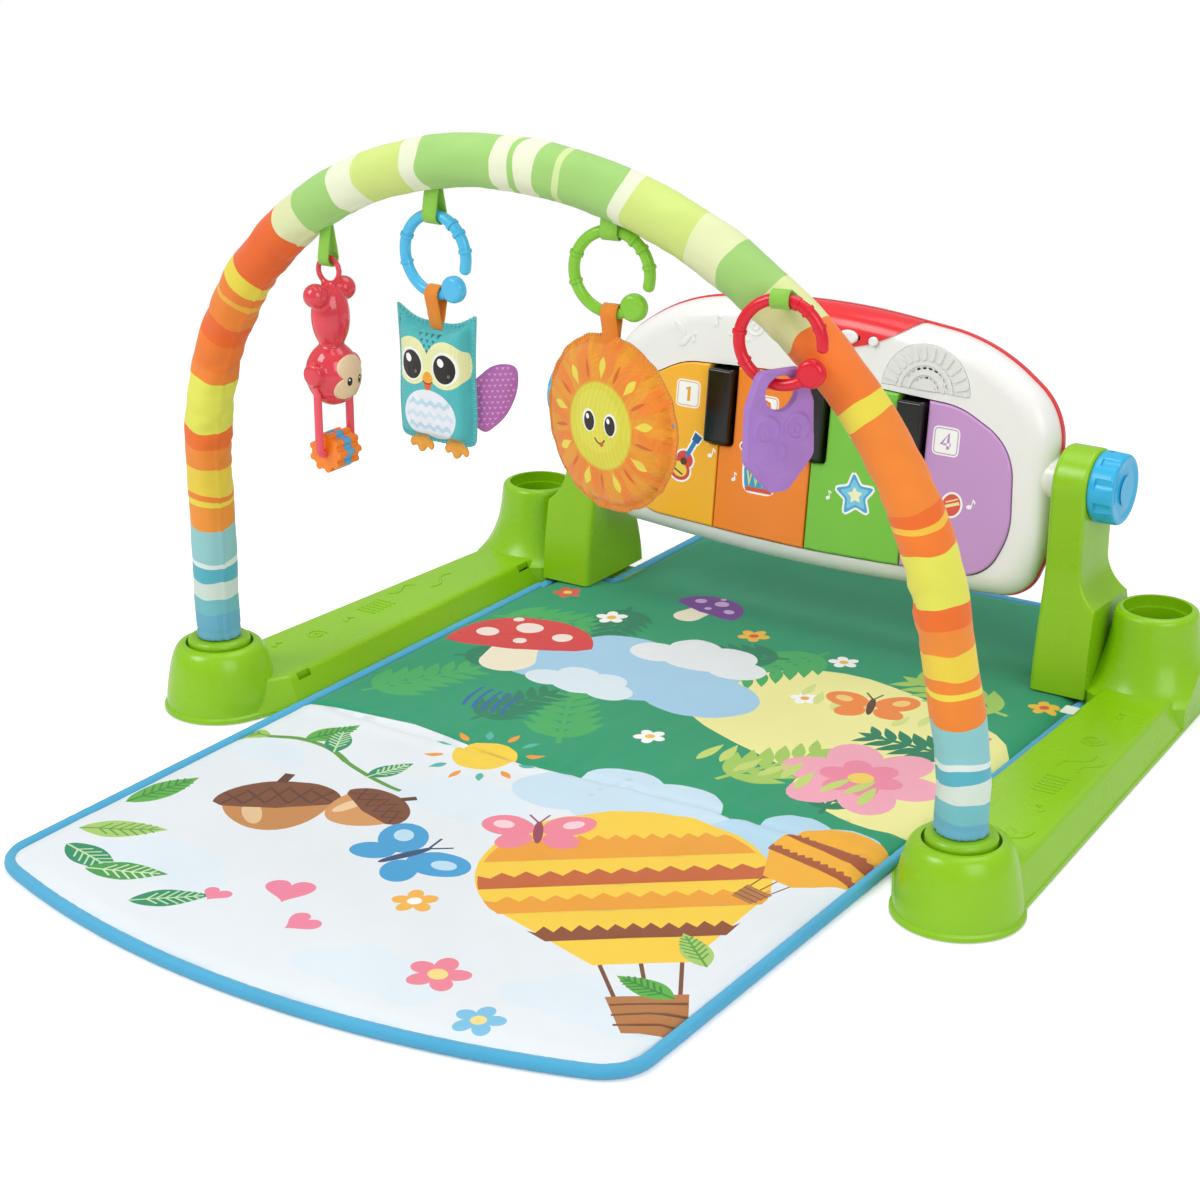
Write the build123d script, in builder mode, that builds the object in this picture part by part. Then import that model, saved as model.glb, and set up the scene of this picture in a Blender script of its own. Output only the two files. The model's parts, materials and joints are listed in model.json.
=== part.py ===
"""Baby activity play gym: a floor mat between two rails, a lift-out toy arch, and a tilting
kick piano on two posts. Millimetres, +Z up, +Y to the piano. The origin is on the floor,
midway between the two feet of the arch."""

import os
from math import atan, cos, degrees, radians, sin, sqrt, tan

from build123d import *

os.makedirs("parts", exist_ok=True)

# --- driving dimensions: fits and walls ---
wall = 2.5  # moulded shells
running_gap = 0.05  # radial, a shaft that turns in a bore
slide_gap = 0.08  # radial, a plug that slides in a socket

# --- base: rails, posts and crossbar ---
panel_half_length = 203.0
post_inner = panel_half_length + 5  # the posts stand clear of the panel
post_width = 29.0
post_outer = post_inner + post_width
seam_x = post_outer + 15  # post meets rail here
foot_half_span = seam_x + 63  # arch foot centre to the middle plane
foot_base_radius = 44.5
foot_height = 53.0
socket_mouth_radius = 26.1
socket_radius = 24.0
socket_floor = 10.0
foot_ground_gap = 1.0  # pads hold the rails this far off the floor
rail_inner = seam_x + 4  # rail's inner edge, beside the mat
rail_outer_front = foot_half_span + 37
rail_outer_rear = foot_half_span + 12
rail_height = 26.0
rail_taper = 24.0
cup_x = seam_x + 36  # spare arch socket behind the rail
cup_y = 394.0
cup_height = 82.0
cup_rim_radius = 31.0
rail_rear_radius = 39.0
rail_slot_y = (40.0, 336.0)
rail_slot_x = rail_inner + 10
rail_slot_size = (3.0, 15.0)
pad_radius = 7.0

post_front_base = 347.0
post_rear_base = 438.0
post_bottom = 12.6  # rests just over the mat
pivot_y = 388.0
pivot_z = 172.0
post_head_radius = 29.0
post_inner_rounding = 5.0
post_outer_rounding = 3.0
axle_radius = 8.0
knob_seat_radius = 6.0

crossbar_y = (392.0, 424.0)
crossbar_height = 7.0

# --- mat ---
mat_half_width = seam_x + 2
mat_thickness = 12.0
mat_front_corner_y = -297.0
mat_front_sag = 47.0  # front edge bows out by this much
mat_corner_radius = 32.0
mat_rear_y = 535.0
mat_step_x = seam_x - 1  # mat steps in beside the rails, then runs under the posts
mat_step_y = post_front_base - 4
mat_notch_x = post_inner - 3  # mat narrows between the posts, from under them
mat_notch_y = crossbar_y[0] - 7
binding_width = 6.0
binding_height = 9.0

# --- arch ---
leg_kink_z = 104.0  # above this the arch leans forward
arch_lean = 7.93  # degrees
leg_tilt = 7.28  # degrees, inward
leg_straight = 105.8
shoulder_radius = 275.0
shoulder_end = 28.69  # degrees above the horizontal
tube_radius = 10.0
tube_wall = 2.0
sleeve_radius = 16.6
plug_cap_height = 5.0
joiner_length = 80.0

# --- hanging toys: place along the arch, turn about the vertical ---
hang_x = (-155.0, -60.0, 78.0)
ring_mean_radius = 26.3
ring_wire_radius = 3.75
ring_open_angle = -22.0  # the wire starts here
ring_sweep = 314.0
ring_ball_angle = -54.0
ring_roll = (0.0, 0.0, 13.0)
ball_radius = 9.0
ball_thickness = 9.0
ball_rounding = 3.5
collar_angles = (12, 38, 55, 158, 198)
collar_width = 2.2
strap_thickness = 1.2
strap_width = 12.0
strap_bore = 4.9  # inside radius of a strap's bight
tag_width = 11.0
ring_drop = (34.88, 25.08)  # arch centre line down to the wire's top, blue and green
ring_turn = (-4.0, 8.0, 11.0)
red_ring_x = 210.5
red_ring_offset = (28.53, 25.14)  # forwards and up from the arch centre line
red_strap_root = (-23.0, -6.0)
hook_drop = 40.2

owl_width = 66.0
owl_height = 88.0
owl_thickness = 26.0
owl_drop = 57.4  # wire centre down to the middle of the body
owl_turn = -2.0
wing_sweep = 42.0  # degrees backwards
wing_thickness = 6.0
sun_radius = 59.0
sun_thickness = 18.0
sun_drop = 13.0  # wire centre to the cushion's edge
sun_turn = -12.0
teether_thickness = 6.5
teether_turn = 60.0
eye_radius = 11.0

tail_radius = 9.0
tail_wire = 2.2
head_drop = 81.0  # hook down to the middle of the head
head_radius = 19.0
head_half_height = 22.5
torso_rise = 40.0
torso_radius = 13.5
torso_half_height = 24.0
ear_radius = 8.0
face_thickness = 1.2
arm_half = 17.0
arm_radius = 3.0
bead_drop = 55.0  # head down to the beads
bead_radius = 14.0
bead_width = 7.6
bead_pitch = 7.9

# --- piano panel ---
panel_lean = degrees(atan(0.12))
panel_top = 109.0
panel_bottom = -107.0
shell_depth = 22.0
shell_rounding = 19.0  # front edge of the shell
rim_overhang = 1.6
rim_thickness = 4.0
rear_depth = 30.0
key_pitch = (panel_half_length - 31) / 2
key_gap = 1.2
key_depth = 12.0
key_stand = 2.6  # keys stand proud of the shell
black_key_width = 25.0
black_key_stand = 10.0
black_key_foot = -17.0
black_key_tops = (46.8, 50.0, 46.8)
key_top = 50.0
key_rod_radius = 2.0
key_rod_v = 57.0
key_rod_w = 8.0
grille_centre = (94.0, 53.0)
grille_radius = 38.0
cover_thickness = 1.2


def save(part, label):
    part.label = label
    export_step(part, f"parts/{label}.step")


def front_plane(x, y, z, turn=0.0):
    """Upright plane facing the front, turned about the vertical: local x right, y up."""
    return Plane(
        origin=(x, y, z),
        x_dir=(cos(radians(turn)), sin(radians(turn)), 0),
        z_dir=(sin(radians(turn)), -cos(radians(turn)), 0),
    )


# ---------------------------------------------------------------- base: rails

# The rail's plan: the foot's circle, a straight body that narrows to the rear, a round end.
with BuildSketch() as rail_plan:
    with Locations((foot_half_span, 0)):
        Circle(foot_base_radius - 1.5)
    with BuildLine():
        Polyline(
            (foot_half_span - 38, -20),
            (rail_inner, 22),
            (rail_inner, post_front_base),
            (seam_x + 0.1, post_front_base + 4),
            (seam_x + 0.1, post_rear_base),
            (cup_x, cup_y + rail_rear_radius + 8),
            (rail_outer_rear, cup_y + 8),
            (rail_outer_front, 20),
            close=True,
        )
    make_face()
    with Locations((cup_x, cup_y + 8)):
        Circle(rail_rear_radius)

with BuildSketch(Plane.XZ) as foot_profile:
    with BuildLine():
        Polyline(
            (0, foot_ground_gap),
            (foot_base_radius, foot_ground_gap),
            (foot_base_radius, 4),
            (foot_base_radius - 2, 5.2),
        )
        Spline(
            (foot_base_radius - 2, 5.2),
            (foot_base_radius - 5, 30),
            (35.0, 46.5),
            (28.8, foot_height),
            tangents=((0, 1), (-1, 0.25)),
        )
        Polyline(
            (28.8, foot_height),
            (0, foot_height),
            (0, foot_ground_gap),
        )
    make_face()

with BuildSketch(Plane.XZ) as cup_profile:
    with BuildLine():
        Polyline(
            (0, foot_ground_gap),
            (56, foot_ground_gap),
            (56, 20),
        )
        Spline(
            (56, 20),
            (43, 33),
            (36, 52),
            (cup_rim_radius + 1.5, cup_height - 6),
            (cup_rim_radius - 2.5, cup_height),
            tangents=((-1, 0.35), (-1, 0.3)),
        )
        Polyline(
            (cup_rim_radius - 2.5, cup_height),
            (0, cup_height),
            (0, foot_ground_gap),
        )
    make_face()

with BuildPart() as foot_solid:
    with Locations((foot_half_span, 0, 0)):
        add(revolve(foot_profile.sketch, axis=Axis.Z, mode=Mode.PRIVATE))

with BuildPart() as cup_solid:
    with Locations((cup_x, cup_y, 0)):
        add(revolve(cup_profile.sketch, axis=Axis.Z, mode=Mode.PRIVATE))
    extrude(rail_plan.sketch, amount=cup_height, mode=Mode.INTERSECT)

with BuildPart() as right_rail:
    with BuildSketch(Plane.XY.offset(foot_ground_gap)):
        add(rail_plan.sketch)
    extrude(amount=rail_height - foot_ground_gap, taper=rail_taper)
    fillet(right_rail.faces().sort_by(Axis.Z)[-1].edges(), 5)
    with BuildSketch(Plane.XY.offset(foot_ground_gap)):
        add(rail_plan.sketch)
    extrude(amount=3)
    add(foot_solid.part)
    add(cup_solid.part)
    # hollow from below, with the two socket tubes left standing
    with BuildSketch(Plane.XY.offset(foot_ground_gap)):
        offset(rail_plan.sketch, amount=-wall - 1.5)
        with Locations((foot_half_span, 0), (cup_x, cup_y)):
            Circle(socket_radius + wall, mode=Mode.SUBTRACT)
    extrude(amount=rail_height - wall - foot_ground_gap, taper=rail_taper, mode=Mode.SUBTRACT)
    for x, y, top in ((foot_half_span, 0, foot_height), (cup_x, cup_y, cup_height)):
        with BuildSketch(Plane.XY.offset(socket_floor)):
            with Locations((x, y)):
                Circle(socket_radius)
        extrude(amount=top, mode=Mode.SUBTRACT)
        with BuildSketch(Plane.XY.offset(top - 9)):
            with Locations((x, y)):
                Circle(socket_mouth_radius)
        extrude(amount=20, mode=Mode.SUBTRACT)
    # the post meets the rail at the seam
    with BuildSketch(Plane.XY):
        with Locations((seam_x - 50, cup_y)):
            Rectangle(100, 120)
    extrude(amount=cup_height + 10, mode=Mode.SUBTRACT)
    # slots that a mat tab buttons into
    with BuildSketch(Plane.XY.offset(foot_ground_gap)):
        with Locations(*[(rail_slot_x, y) for y in rail_slot_y]):
            Rectangle(*rail_slot_size)
    extrude(amount=rail_height, mode=Mode.SUBTRACT)
save(right_rail.part, "right_rail")

with BuildPart() as left_rail:
    mirror(right_rail.part, about=Plane.YZ)
save(left_rail.part, "left_rail")

pad_places = [
    (x * side, y)
    for side in (-1, 1)
    for x, y in (
        (foot_half_span - 36, -6),
        (foot_half_span + 30, 12),
        (rail_inner + 8, 360),
        (cup_x + 8, cup_y + 41),
    )
]
with BuildPart() as rail_feet:
    with BuildSketch():
        with Locations(*pad_places):
            Circle(pad_radius)
    extrude(amount=foot_ground_gap)
save(rail_feet.part, "rail_feet")

# ---------------------------------------------------------------- base: posts

# Front view: upright inner face, outer face that flares out to the seam beside the cup.
with BuildSketch(Plane.XZ) as post_front_view:
    with BuildLine():
        Polyline(
            (seam_x, cup_height),
            (seam_x, post_bottom),
            (post_inner - 2, post_bottom),
            (post_inner, pivot_z),
            (post_inner, pivot_z + 40),
            (post_outer, pivot_z + 40),
            (post_outer, cup_height + 30),
        )
        RadiusArc((post_outer, cup_height + 30), (seam_x, cup_height), -38)
    make_face()

# Side view: a round head on the pivot, sides that widen to the base.
with BuildSketch(Plane.YZ) as post_side_view:
    with Locations((pivot_y, pivot_z)):
        Circle(post_head_radius)
    with BuildLine():
        Polyline(
            (pivot_y - post_head_radius, pivot_z),
            (pivot_y - post_head_radius + 0.5, 110),
        )
        Spline(
            (pivot_y - post_head_radius + 0.5, 110),
            (352, 60),
            (post_front_base, post_bottom),
            tangents=((-0.05, -1), (-0.05, -1)),
        )
        Line((post_front_base, post_bottom), (post_rear_base, post_bottom))
        Spline(
            (post_rear_base, post_bottom),
            (428, 60),
            (pivot_y + post_head_radius - 0.5, 110),
            tangents=((-0.05, 1), (-0.05, 1)),
        )
        Polyline(
            (pivot_y + post_head_radius - 0.5, 110),
            (pivot_y + post_head_radius, pivot_z),
            (pivot_y - post_head_radius, pivot_z),
        )
    make_face()



def rising_edges(shape, low_x, high_x, low_top):
    """Edges that climb between two values of X and reach above a height."""
    boxes = [(edge, edge.bounding_box()) for edge in shape.edges()]
    return [
        edge
        for edge, box in boxes
        if box.min.X > low_x and box.max.X < high_x and box.max.Z > low_top and box.size.Z > 5
    ]


with BuildPart() as right_post:
    extrude(post_side_view.sketch, amount=400)
    with BuildPart(mode=Mode.PRIVATE) as front_prism:
        extrude(post_front_view.sketch, amount=-600)
    add(front_prism.part, mode=Mode.INTERSECT)
    fillet(rising_edges(right_post, 0, post_inner + 0.1, post_bottom), post_inner_rounding)
    fillet(rising_edges(right_post, post_outer - 0.1, seam_x + 0.1, cup_height + 1), post_outer_rounding)
    # outer faces hollowed from below, with the head left solid round the bore
    with BuildSketch(Plane.XY.offset(post_bottom)):
        with Locations(((post_inner + seam_x) / 2 + 1, (post_front_base + post_rear_base) / 2)):
            RectangleRounded(seam_x - post_inner - 2 * wall - 3, 68, 6)
    extrude(amount=cup_height - 2 * wall - post_bottom - 10, mode=Mode.SUBTRACT)
    with BuildSketch(Plane.XY.offset(post_bottom)):
        with Locations(((post_inner + post_outer) / 2, pivot_y)):
            RectangleRounded(post_outer - post_inner - 2 * wall, 46, 4)
    extrude(amount=pivot_z - post_bottom - 24, mode=Mode.SUBTRACT)
    with BuildSketch(Plane.YZ.offset(post_inner - 10)):
        with Locations((pivot_y, pivot_z)):
            Circle(axle_radius + running_gap)
    extrude(amount=60, mode=Mode.SUBTRACT)
save(right_post.part, "right_post")

with BuildPart() as left_post:
    mirror(right_post.part, about=Plane.YZ)
save(left_post.part, "left_post")

# A flat bar under the mat keeps the posts apart. Its ends turn up into the posts.
with BuildPart() as rear_crossbar:
    with BuildSketch(Plane.XY.offset(foot_ground_gap)):
        with Locations((0, sum(crossbar_y) / 2)):
            Rectangle(2 * (seam_x - 1), crossbar_y[1] - crossbar_y[0])
    extrude(amount=crossbar_height)
    with BuildSketch(Plane.XY.offset(foot_ground_gap)):
        with GridLocations(2 * (post_inner + 20), 0, 2, 1):
            with Locations((0, sum(crossbar_y) / 2)):
                Rectangle(24, crossbar_y[1] - crossbar_y[0] - 4)
    extrude(amount=post_bottom - foot_ground_gap + 16)
    with BuildSketch(Plane.XY):
        with GridLocations(2 * (post_inner + 20), 0, 2, 1):
            with Locations((0, crossbar_y[0] + 8), (0, crossbar_y[1] - 8)):
                Circle(1.6)
    extrude(amount=24, mode=Mode.SUBTRACT)
save(rear_crossbar.part, "rear_crossbar")

with BuildPart() as base_screws:
    with BuildSketch(Plane.XY.offset(foot_ground_gap + 0.2)):
        with GridLocations(2 * (post_inner + 20), 0, 2, 1):
            with Locations((0, crossbar_y[0] + 8), (0, crossbar_y[1] - 8)):
                Circle(1.6)
    extrude(amount=20)
save(base_screws.part, "base_screws")

# ---------------------------------------------------------------- mat


def mat_outline(inset):
    """The mat's plan, drawn into the sketch in hand, smaller all round by an inset."""
    half = mat_half_width - inset
    step = mat_step_x - inset
    notch = mat_notch_x - inset
    front = mat_front_corner_y - mat_front_sag + inset
    corner = mat_corner_radius - inset
    bow = mat_front_sag - inset * 0.02
    with BuildLine() as outline:
        Polyline(
            (-half, front + bow),
            (-half, mat_step_y - inset),
            (-step, mat_step_y - inset),
            (-step, mat_notch_y - inset),
            (-notch, mat_notch_y - inset),
            (-notch, mat_rear_y - inset),
            (notch, mat_rear_y - inset),
            (notch, mat_notch_y - inset),
            (step, mat_notch_y - inset),
            (step, mat_step_y - inset),
            (half, mat_step_y - inset),
            (half, front + bow),
        )
        ThreePointArc((half, front + bow), (0, front), (-half, front + bow))
    face = make_face(outline.edges())
    fillet(face.vertices().filter_by(lambda v: v.Y < 0), corner)


with BuildPart() as mat:
    with BuildSketch(Plane.XY):
        mat_outline(binding_width)
    extrude(amount=mat_thickness)
    fillet(mat.faces().sort_by(Axis.Z)[-1].edges(), 3)
    # room for the crossbar
    with BuildSketch(Plane.XY):
        with Locations((0, sum(crossbar_y) / 2)):
            Rectangle(2 * seam_x, crossbar_y[1] - crossbar_y[0] + 1)
    extrude(amount=foot_ground_gap + crossbar_height + 0.4, mode=Mode.SUBTRACT)
save(mat.part, "mat")

with BuildPart() as mat_binding:
    with BuildSketch(Plane.XY):
        mat_outline(0)
    extrude(amount=binding_height)
    fillet(mat_binding.faces().sort_by(Axis.Z)[-1].edges(), 3)
    with BuildSketch(Plane.XY):
        mat_outline(binding_width)
    extrude(amount=binding_height, mode=Mode.SUBTRACT)
    with BuildSketch(Plane.XY):
        with Locations((0, sum(crossbar_y) / 2)):
            Rectangle(2 * seam_x, crossbar_y[1] - crossbar_y[0] + 1)
    extrude(amount=foot_ground_gap + crossbar_height + 0.4, mode=Mode.SUBTRACT)
save(mat_binding.part, "mat_binding")

with BuildPart() as mat_tab:
    with BuildSketch(Plane.XY.offset(rail_height + 0.1)):
        with Locations((rail_inner + 8, 292)):
            Rectangle(12, 14)
    extrude(amount=1.2)
save(mat_tab.part, "mat_tab")

# ---------------------------------------------------------------- piano panel

# Local frame of the panel: x right, v up the lean, w out of the front, from the pivot axis.
panel_plane = Plane(
    origin=(0, pivot_y, pivot_z),
    x_dir=(1, 0, 0),
    z_dir=(0, -cos(radians(panel_lean)), sin(radians(panel_lean))),
)
panel_front = Axis(panel_plane.origin, panel_plane.z_dir)
pivot_plane = Plane(origin=(0, pivot_y, pivot_z), x_dir=(1, 0, 0), z_dir=(0, -1, 0))
pivot_axis = Axis((0, pivot_y, pivot_z), (1, 0, 0))


def mirrored_outline(right_half, radii):
    """Face of a closed outline from its right half, top to bottom, with rounded corners."""
    left_half = [(-x, y) for x, y in reversed(right_half[1:-1])]
    with BuildSketch(Plane.XY) as shape:
        with BuildLine() as outline:
            FilletPolyline(
                *right_half,
                *left_half,
                radius=[*radii, *reversed(radii[1:-1])],
                close=True,
            )
        make_face(outline.edges())
    return shape.sketch


panel_shape = mirrored_outline(
    (
        (0, panel_top + 3),
        (panel_half_length - 63, panel_top - 12),
        (panel_half_length - 1.5, 52),
        (panel_half_length + 1, -50),
        (panel_half_length - 15, panel_bottom + 10),
        (0, panel_bottom - 3),
    ),
    (600, 150, 55, 120, 30, 1500),
)
key_field = mirrored_outline(
    (
        (0, key_top + 2),
        (panel_half_length - 78, key_top - 4),
        (panel_half_length - 31, 22),
        (panel_half_length - 26, -45),
        (panel_half_length - 43, -84),
        (0, -91),
    ),
    (900, 60, 45, 60, 34, 1500),
)
grille_clip = 1.6  # grille stays this far above its centre, clear of the keys


def panel_block(inset, low, high, rounding):
    """Panel-shaped block between two depths, rounded on the edge at the high side."""
    with BuildPart() as block:
        with BuildSketch(panel_plane.offset(low)):
            offset(panel_shape, amount=-inset)
        extrude(amount=high - low)
        last = block.faces().sort_by(panel_front)[-1 if high > low else 0]
        fillet(last.edges(), rounding)
    return block.part


screw_places = (
    (panel_half_length - 17, 36),
    (panel_half_length - 16, -46),
    (50, 84),
    (100, -97.5),
)
panel_screws = [(x * side, v) for side in (-1, 1) for x, v in screw_places]
screw_radius = 1.5
boss_radius = 3.2
rod_support_x = [key_pitch * share for share in (-1.6, -0.5, 0.5, 1.6)]
slider_place = (24, 87)
slider_slot = (20, 5)
button_place = (46, 86)
button_radius = 4.0
door_size = (94, 62)
door_centre_v = -8
speaker_place = (94, 74)
speaker_radius = 12.5
speaker_front = shell_depth - wall - 1.6
battery_radius = 7.1
board_centre_v = -38
board_depth = 6.0
board_thickness = 1.6
board_post_pitch = (240, 44)
battery_length = 50.0

hub_x = (panel_half_length - 17, post_inner - 0.4)
hub_radius = 17.5
hub_parts = {}
for side, side_name in ((1, "right"), (-1, "left")):
    with BuildPart() as hub:
        with BuildSketch(pivot_plane):
            with BuildLine():
                Line((hub_x[0], 0), (hub_x[0], 9))
                Spline(
                    (hub_x[0], 9),
                    (hub_x[1] - 3, hub_radius),
                    tangents=((0, 1), (1, 0)),
                )
                Polyline(
                    (hub_x[1] - 3, hub_radius),
                    (hub_x[1], hub_radius),
                    (hub_x[1], axle_radius),
                    (post_outer + 0.4, axle_radius),
                    (post_outer + 0.4, knob_seat_radius),
                    (post_outer + 14, knob_seat_radius),
                    (post_outer + 14, 0),
                    (hub_x[0], 0),
                )
            make_face()
        revolve(axis=pivot_axis)
        if side < 0:
            mirror(about=Plane.YZ, mode=Mode.REPLACE)
    hub_parts[side_name] = hub.part
    save(hub.part, f"{side_name}_pivot_hub")

# Screw bosses and supports for the key rod, up to the inside of the front shell.
with BuildPart() as front_fittings:
    with BuildSketch(panel_plane.offset(0.1)):
        with Locations(*panel_screws):
            Circle(boss_radius)
    extrude(amount=shell_depth)
    with BuildSketch(panel_plane.offset(key_rod_w - 5)):
        with Locations(*[(x, key_rod_v + 2) for x in rod_support_x]):
            Rectangle(3, 9)
    extrude(amount=shell_depth)
    add(panel_block(wall / 2, 0, shell_depth - wall / 2, shell_rounding - 2), mode=Mode.INTERSECT)

with BuildPart() as front_housing:
    add(panel_block(0, 0, shell_depth, shell_rounding))
    add(panel_block(wall, -0.01, shell_depth - wall, shell_rounding - 3), mode=Mode.SUBTRACT)
    # opening for the keys
    with BuildSketch(panel_plane):
        offset(key_field, amount=0.9)
    extrude(amount=shell_depth + 5, mode=Mode.SUBTRACT)
    add(front_fittings.part)
    with BuildSketch(panel_plane.offset(0.1)):
        with Locations(*panel_screws):
            Circle(screw_radius)
    extrude(amount=12, mode=Mode.SUBTRACT)
    with Locations(panel_plane * Location((0, key_rod_v, key_rod_w), (0, 90, 0))):
        Cylinder(key_rod_radius + 0.02, 2 * panel_half_length - 60, mode=Mode.SUBTRACT)
    # seat of the speaker grille, and the sound opening behind it
    with BuildSketch(panel_plane.offset(shell_depth - 1)):
        with Locations(grille_centre):
            Circle(grille_radius + 0.4)
        with Locations((grille_centre[0], grille_centre[1] + grille_clip - 50 - 0.4)):
            Rectangle(100, 100, mode=Mode.SUBTRACT)
    extrude(amount=5, mode=Mode.SUBTRACT)
    with BuildSketch(panel_plane.offset(10)):
        with Locations(speaker_place):
            Circle(speaker_radius - 2)
    extrude(amount=20, mode=Mode.SUBTRACT)
    # openings for the slider and the button
    with BuildSketch(panel_plane.offset(10)):
        with Locations(slider_place):
            SlotOverall(*slider_slot)
        with Locations(button_place):
            Circle(button_radius + 0.4)
    extrude(amount=20, mode=Mode.SUBTRACT)
    for hub_part in hub_parts.values():
        add(hub_part, mode=Mode.SUBTRACT)
save(front_housing.part, "front_housing")

# The grille is a rosette of rings and petals, cut off above the keys.
with BuildPart() as speaker_grille:
    with BuildSketch(panel_plane.offset(shell_depth - 1)):
        with Locations(grille_centre):
            Circle(grille_radius)
        with Locations((grille_centre[0], grille_centre[1] + grille_clip - 50)):
            Rectangle(100, 100, mode=Mode.SUBTRACT)
    extrude(amount=1.3)
    with BuildSketch(panel_plane.offset(shell_depth)):
        with Locations(grille_centre):
            Circle(9)
            for inner in (13.5, 21):
                with BuildSketch(mode=Mode.PRIVATE) as ring:
                    Circle(inner + 3)
                    Circle(inner, mode=Mode.SUBTRACT)
                add(ring.sketch)
            with PolarLocations(31, 13, start_angle=0, angular_range=180):
                SlotOverall(12, 4)
        with Locations((grille_centre[0], grille_centre[1] + grille_clip - 50)):
            Rectangle(100, 100, mode=Mode.SUBTRACT)
    extrude(amount=1.6)
    with BuildSketch(panel_plane.offset(shell_depth - 3)):
        with Locations(grille_centre):
            with PolarLocations(18.7, 9, start_angle=20, angular_range=140):
                SlotOverall(3.6, 1.6, rotation=90)
            with PolarLocations(11.3, 6, start_angle=25, angular_range=130):
                SlotOverall(3.2, 1.6, rotation=90)
    extrude(amount=10, mode=Mode.SUBTRACT)
save(speaker_grille.part, "speaker_grille")

with BuildPart() as control_cover:
    add(panel_block(-cover_thickness, 0.1, shell_depth + cover_thickness, 19 + cover_thickness))
    add(panel_block(0, 0, shell_depth, shell_rounding), mode=Mode.SUBTRACT)
    with BuildSketch(panel_plane):
        with Locations((0, 199)):
            Circle(123)
    extrude(amount=shell_depth + 5, mode=Mode.INTERSECT)
    with BuildSketch(panel_plane.offset(10)):
        with Locations(slider_place):
            SlotOverall(*slider_slot)
        with Locations(button_place):
            Circle(button_radius + 0.4)
    extrude(amount=20, mode=Mode.SUBTRACT)
save(control_cover.part, "control_cover")

with BuildPart() as rear_housing:
    with BuildSketch(panel_plane.offset(-rim_thickness)):
        offset(panel_shape, amount=rim_overhang)
    extrude(amount=rim_thickness)
    add(panel_block(6, -rim_thickness, -rear_depth, 12))
    add(panel_block(6 + wall, 1, -rear_depth + wall, 9.5), mode=Mode.SUBTRACT)
    # battery bay
    with BuildSketch(panel_plane.offset(-rear_depth + 1)):
        with Locations((0, door_centre_v)):
            Rectangle(door_size[0] + 4, door_size[1] + 4)
    extrude(amount=rear_depth - 11)
    with BuildSketch(panel_plane.offset(-rear_depth - 1)):
        with Locations((0, door_centre_v)):
            Rectangle(door_size[0] - 2, door_size[1] - 2)
    extrude(amount=rear_depth - 11, mode=Mode.SUBTRACT)
    with BuildSketch(panel_plane.offset(-rear_depth - 1)):
        with Locations((0, door_centre_v)):
            Rectangle(door_size[0] + 1, door_size[1] + 1)
    extrude(amount=3.1, mode=Mode.SUBTRACT)
    with BuildSketch(panel_plane.offset(-rear_depth + 1)):
        with Locations(*panel_screws):
            Circle(boss_radius)
    extrude(amount=rear_depth - 1)
    # posts under the circuit board
    with BuildSketch(panel_plane.offset(-rear_depth + 1)):
        with Locations((0, board_centre_v)):
            with GridLocations(board_post_pitch[0], board_post_pitch[1], 2, 2):
                Circle(boss_radius)
    extrude(amount=rear_depth - 1 - board_depth)
    with BuildSketch(panel_plane.offset(-rear_depth - 1)):
        with Locations(*panel_screws):
            Circle(screw_radius)
    extrude(amount=rear_depth + 2, mode=Mode.SUBTRACT)
    for hub_part in hub_parts.values():
        add(hub_part, mode=Mode.SUBTRACT)
save(rear_housing.part, "rear_housing")

with BuildPart() as battery_door:
    with BuildSketch(panel_plane.offset(-rear_depth)):
        with Locations((0, door_centre_v)):
            RectangleRounded(*door_size, 3)
    extrude(amount=2)
    with BuildSketch(panel_plane.offset(-rear_depth)):
        with Locations((0, door_centre_v + 20)):
            with GridLocations(0, 4, 1, 3):
                SlotOverall(24, 1.6)
    extrude(amount=0.8, mode=Mode.SUBTRACT)
save(battery_door.part, "battery_door")

with BuildPart() as batteries:
    for row in (-1, 0, 1):
        centre = (0, door_centre_v + row * 17, -rear_depth + 10.5)
        with Locations(panel_plane * Location(centre, (0, 90, 0))):
            Cylinder(battery_radius, battery_length)
        nub = (battery_length / 2 + 0.5, door_centre_v + row * 17, -rear_depth + 10.5)
        with Locations(panel_plane * Location(nub, (0, 90, 0))):
            Cylinder(2.7, 1)
save(batteries.part, "batteries")

with BuildPart() as housing_screws:
    with BuildSketch(panel_plane.offset(-rear_depth + 0.5)):
        with Locations(*panel_screws):
            Circle(screw_radius)
    extrude(amount=rear_depth + 10)
save(housing_screws.part, "housing_screws")

with BuildPart() as key_rod:
    with Locations(panel_plane * Location((0, key_rod_v, key_rod_w), (0, 90, 0))):
        Cylinder(key_rod_radius, 2 * rod_support_x[-1] + 6)
save(key_rod.part, "key_rod")

with BuildPart() as circuit_board:
    with BuildSketch(panel_plane.offset(-board_depth)):
        with Locations((0, board_centre_v)):
            Rectangle(2 * panel_half_length - 76, 76)
    extrude(amount=board_thickness)
    with BuildSketch(panel_plane.offset(board_thickness - board_depth)):
        with Locations((30, -30)):
            Rectangle(14, 14)
        with Locations((60, -24), (70, -36)):
            Circle(3)
    extrude(amount=2)
save(circuit_board.part, "circuit_board")

with BuildPart() as key_domes:
    with BuildSketch(panel_plane.offset(board_thickness - board_depth)):
        with Locations((0, -62)):
            Rectangle(2 * panel_half_length - 86, 16)
    extrude(amount=1)
    with BuildSketch(panel_plane.offset(board_thickness - board_depth)):
        with Locations(*[(key_pitch * (n - 1.5), -62) for n in range(4)]):
            Circle(6.5)
    extrude(amount=7, taper=20)
save(key_domes.part, "key_domes")

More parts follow.
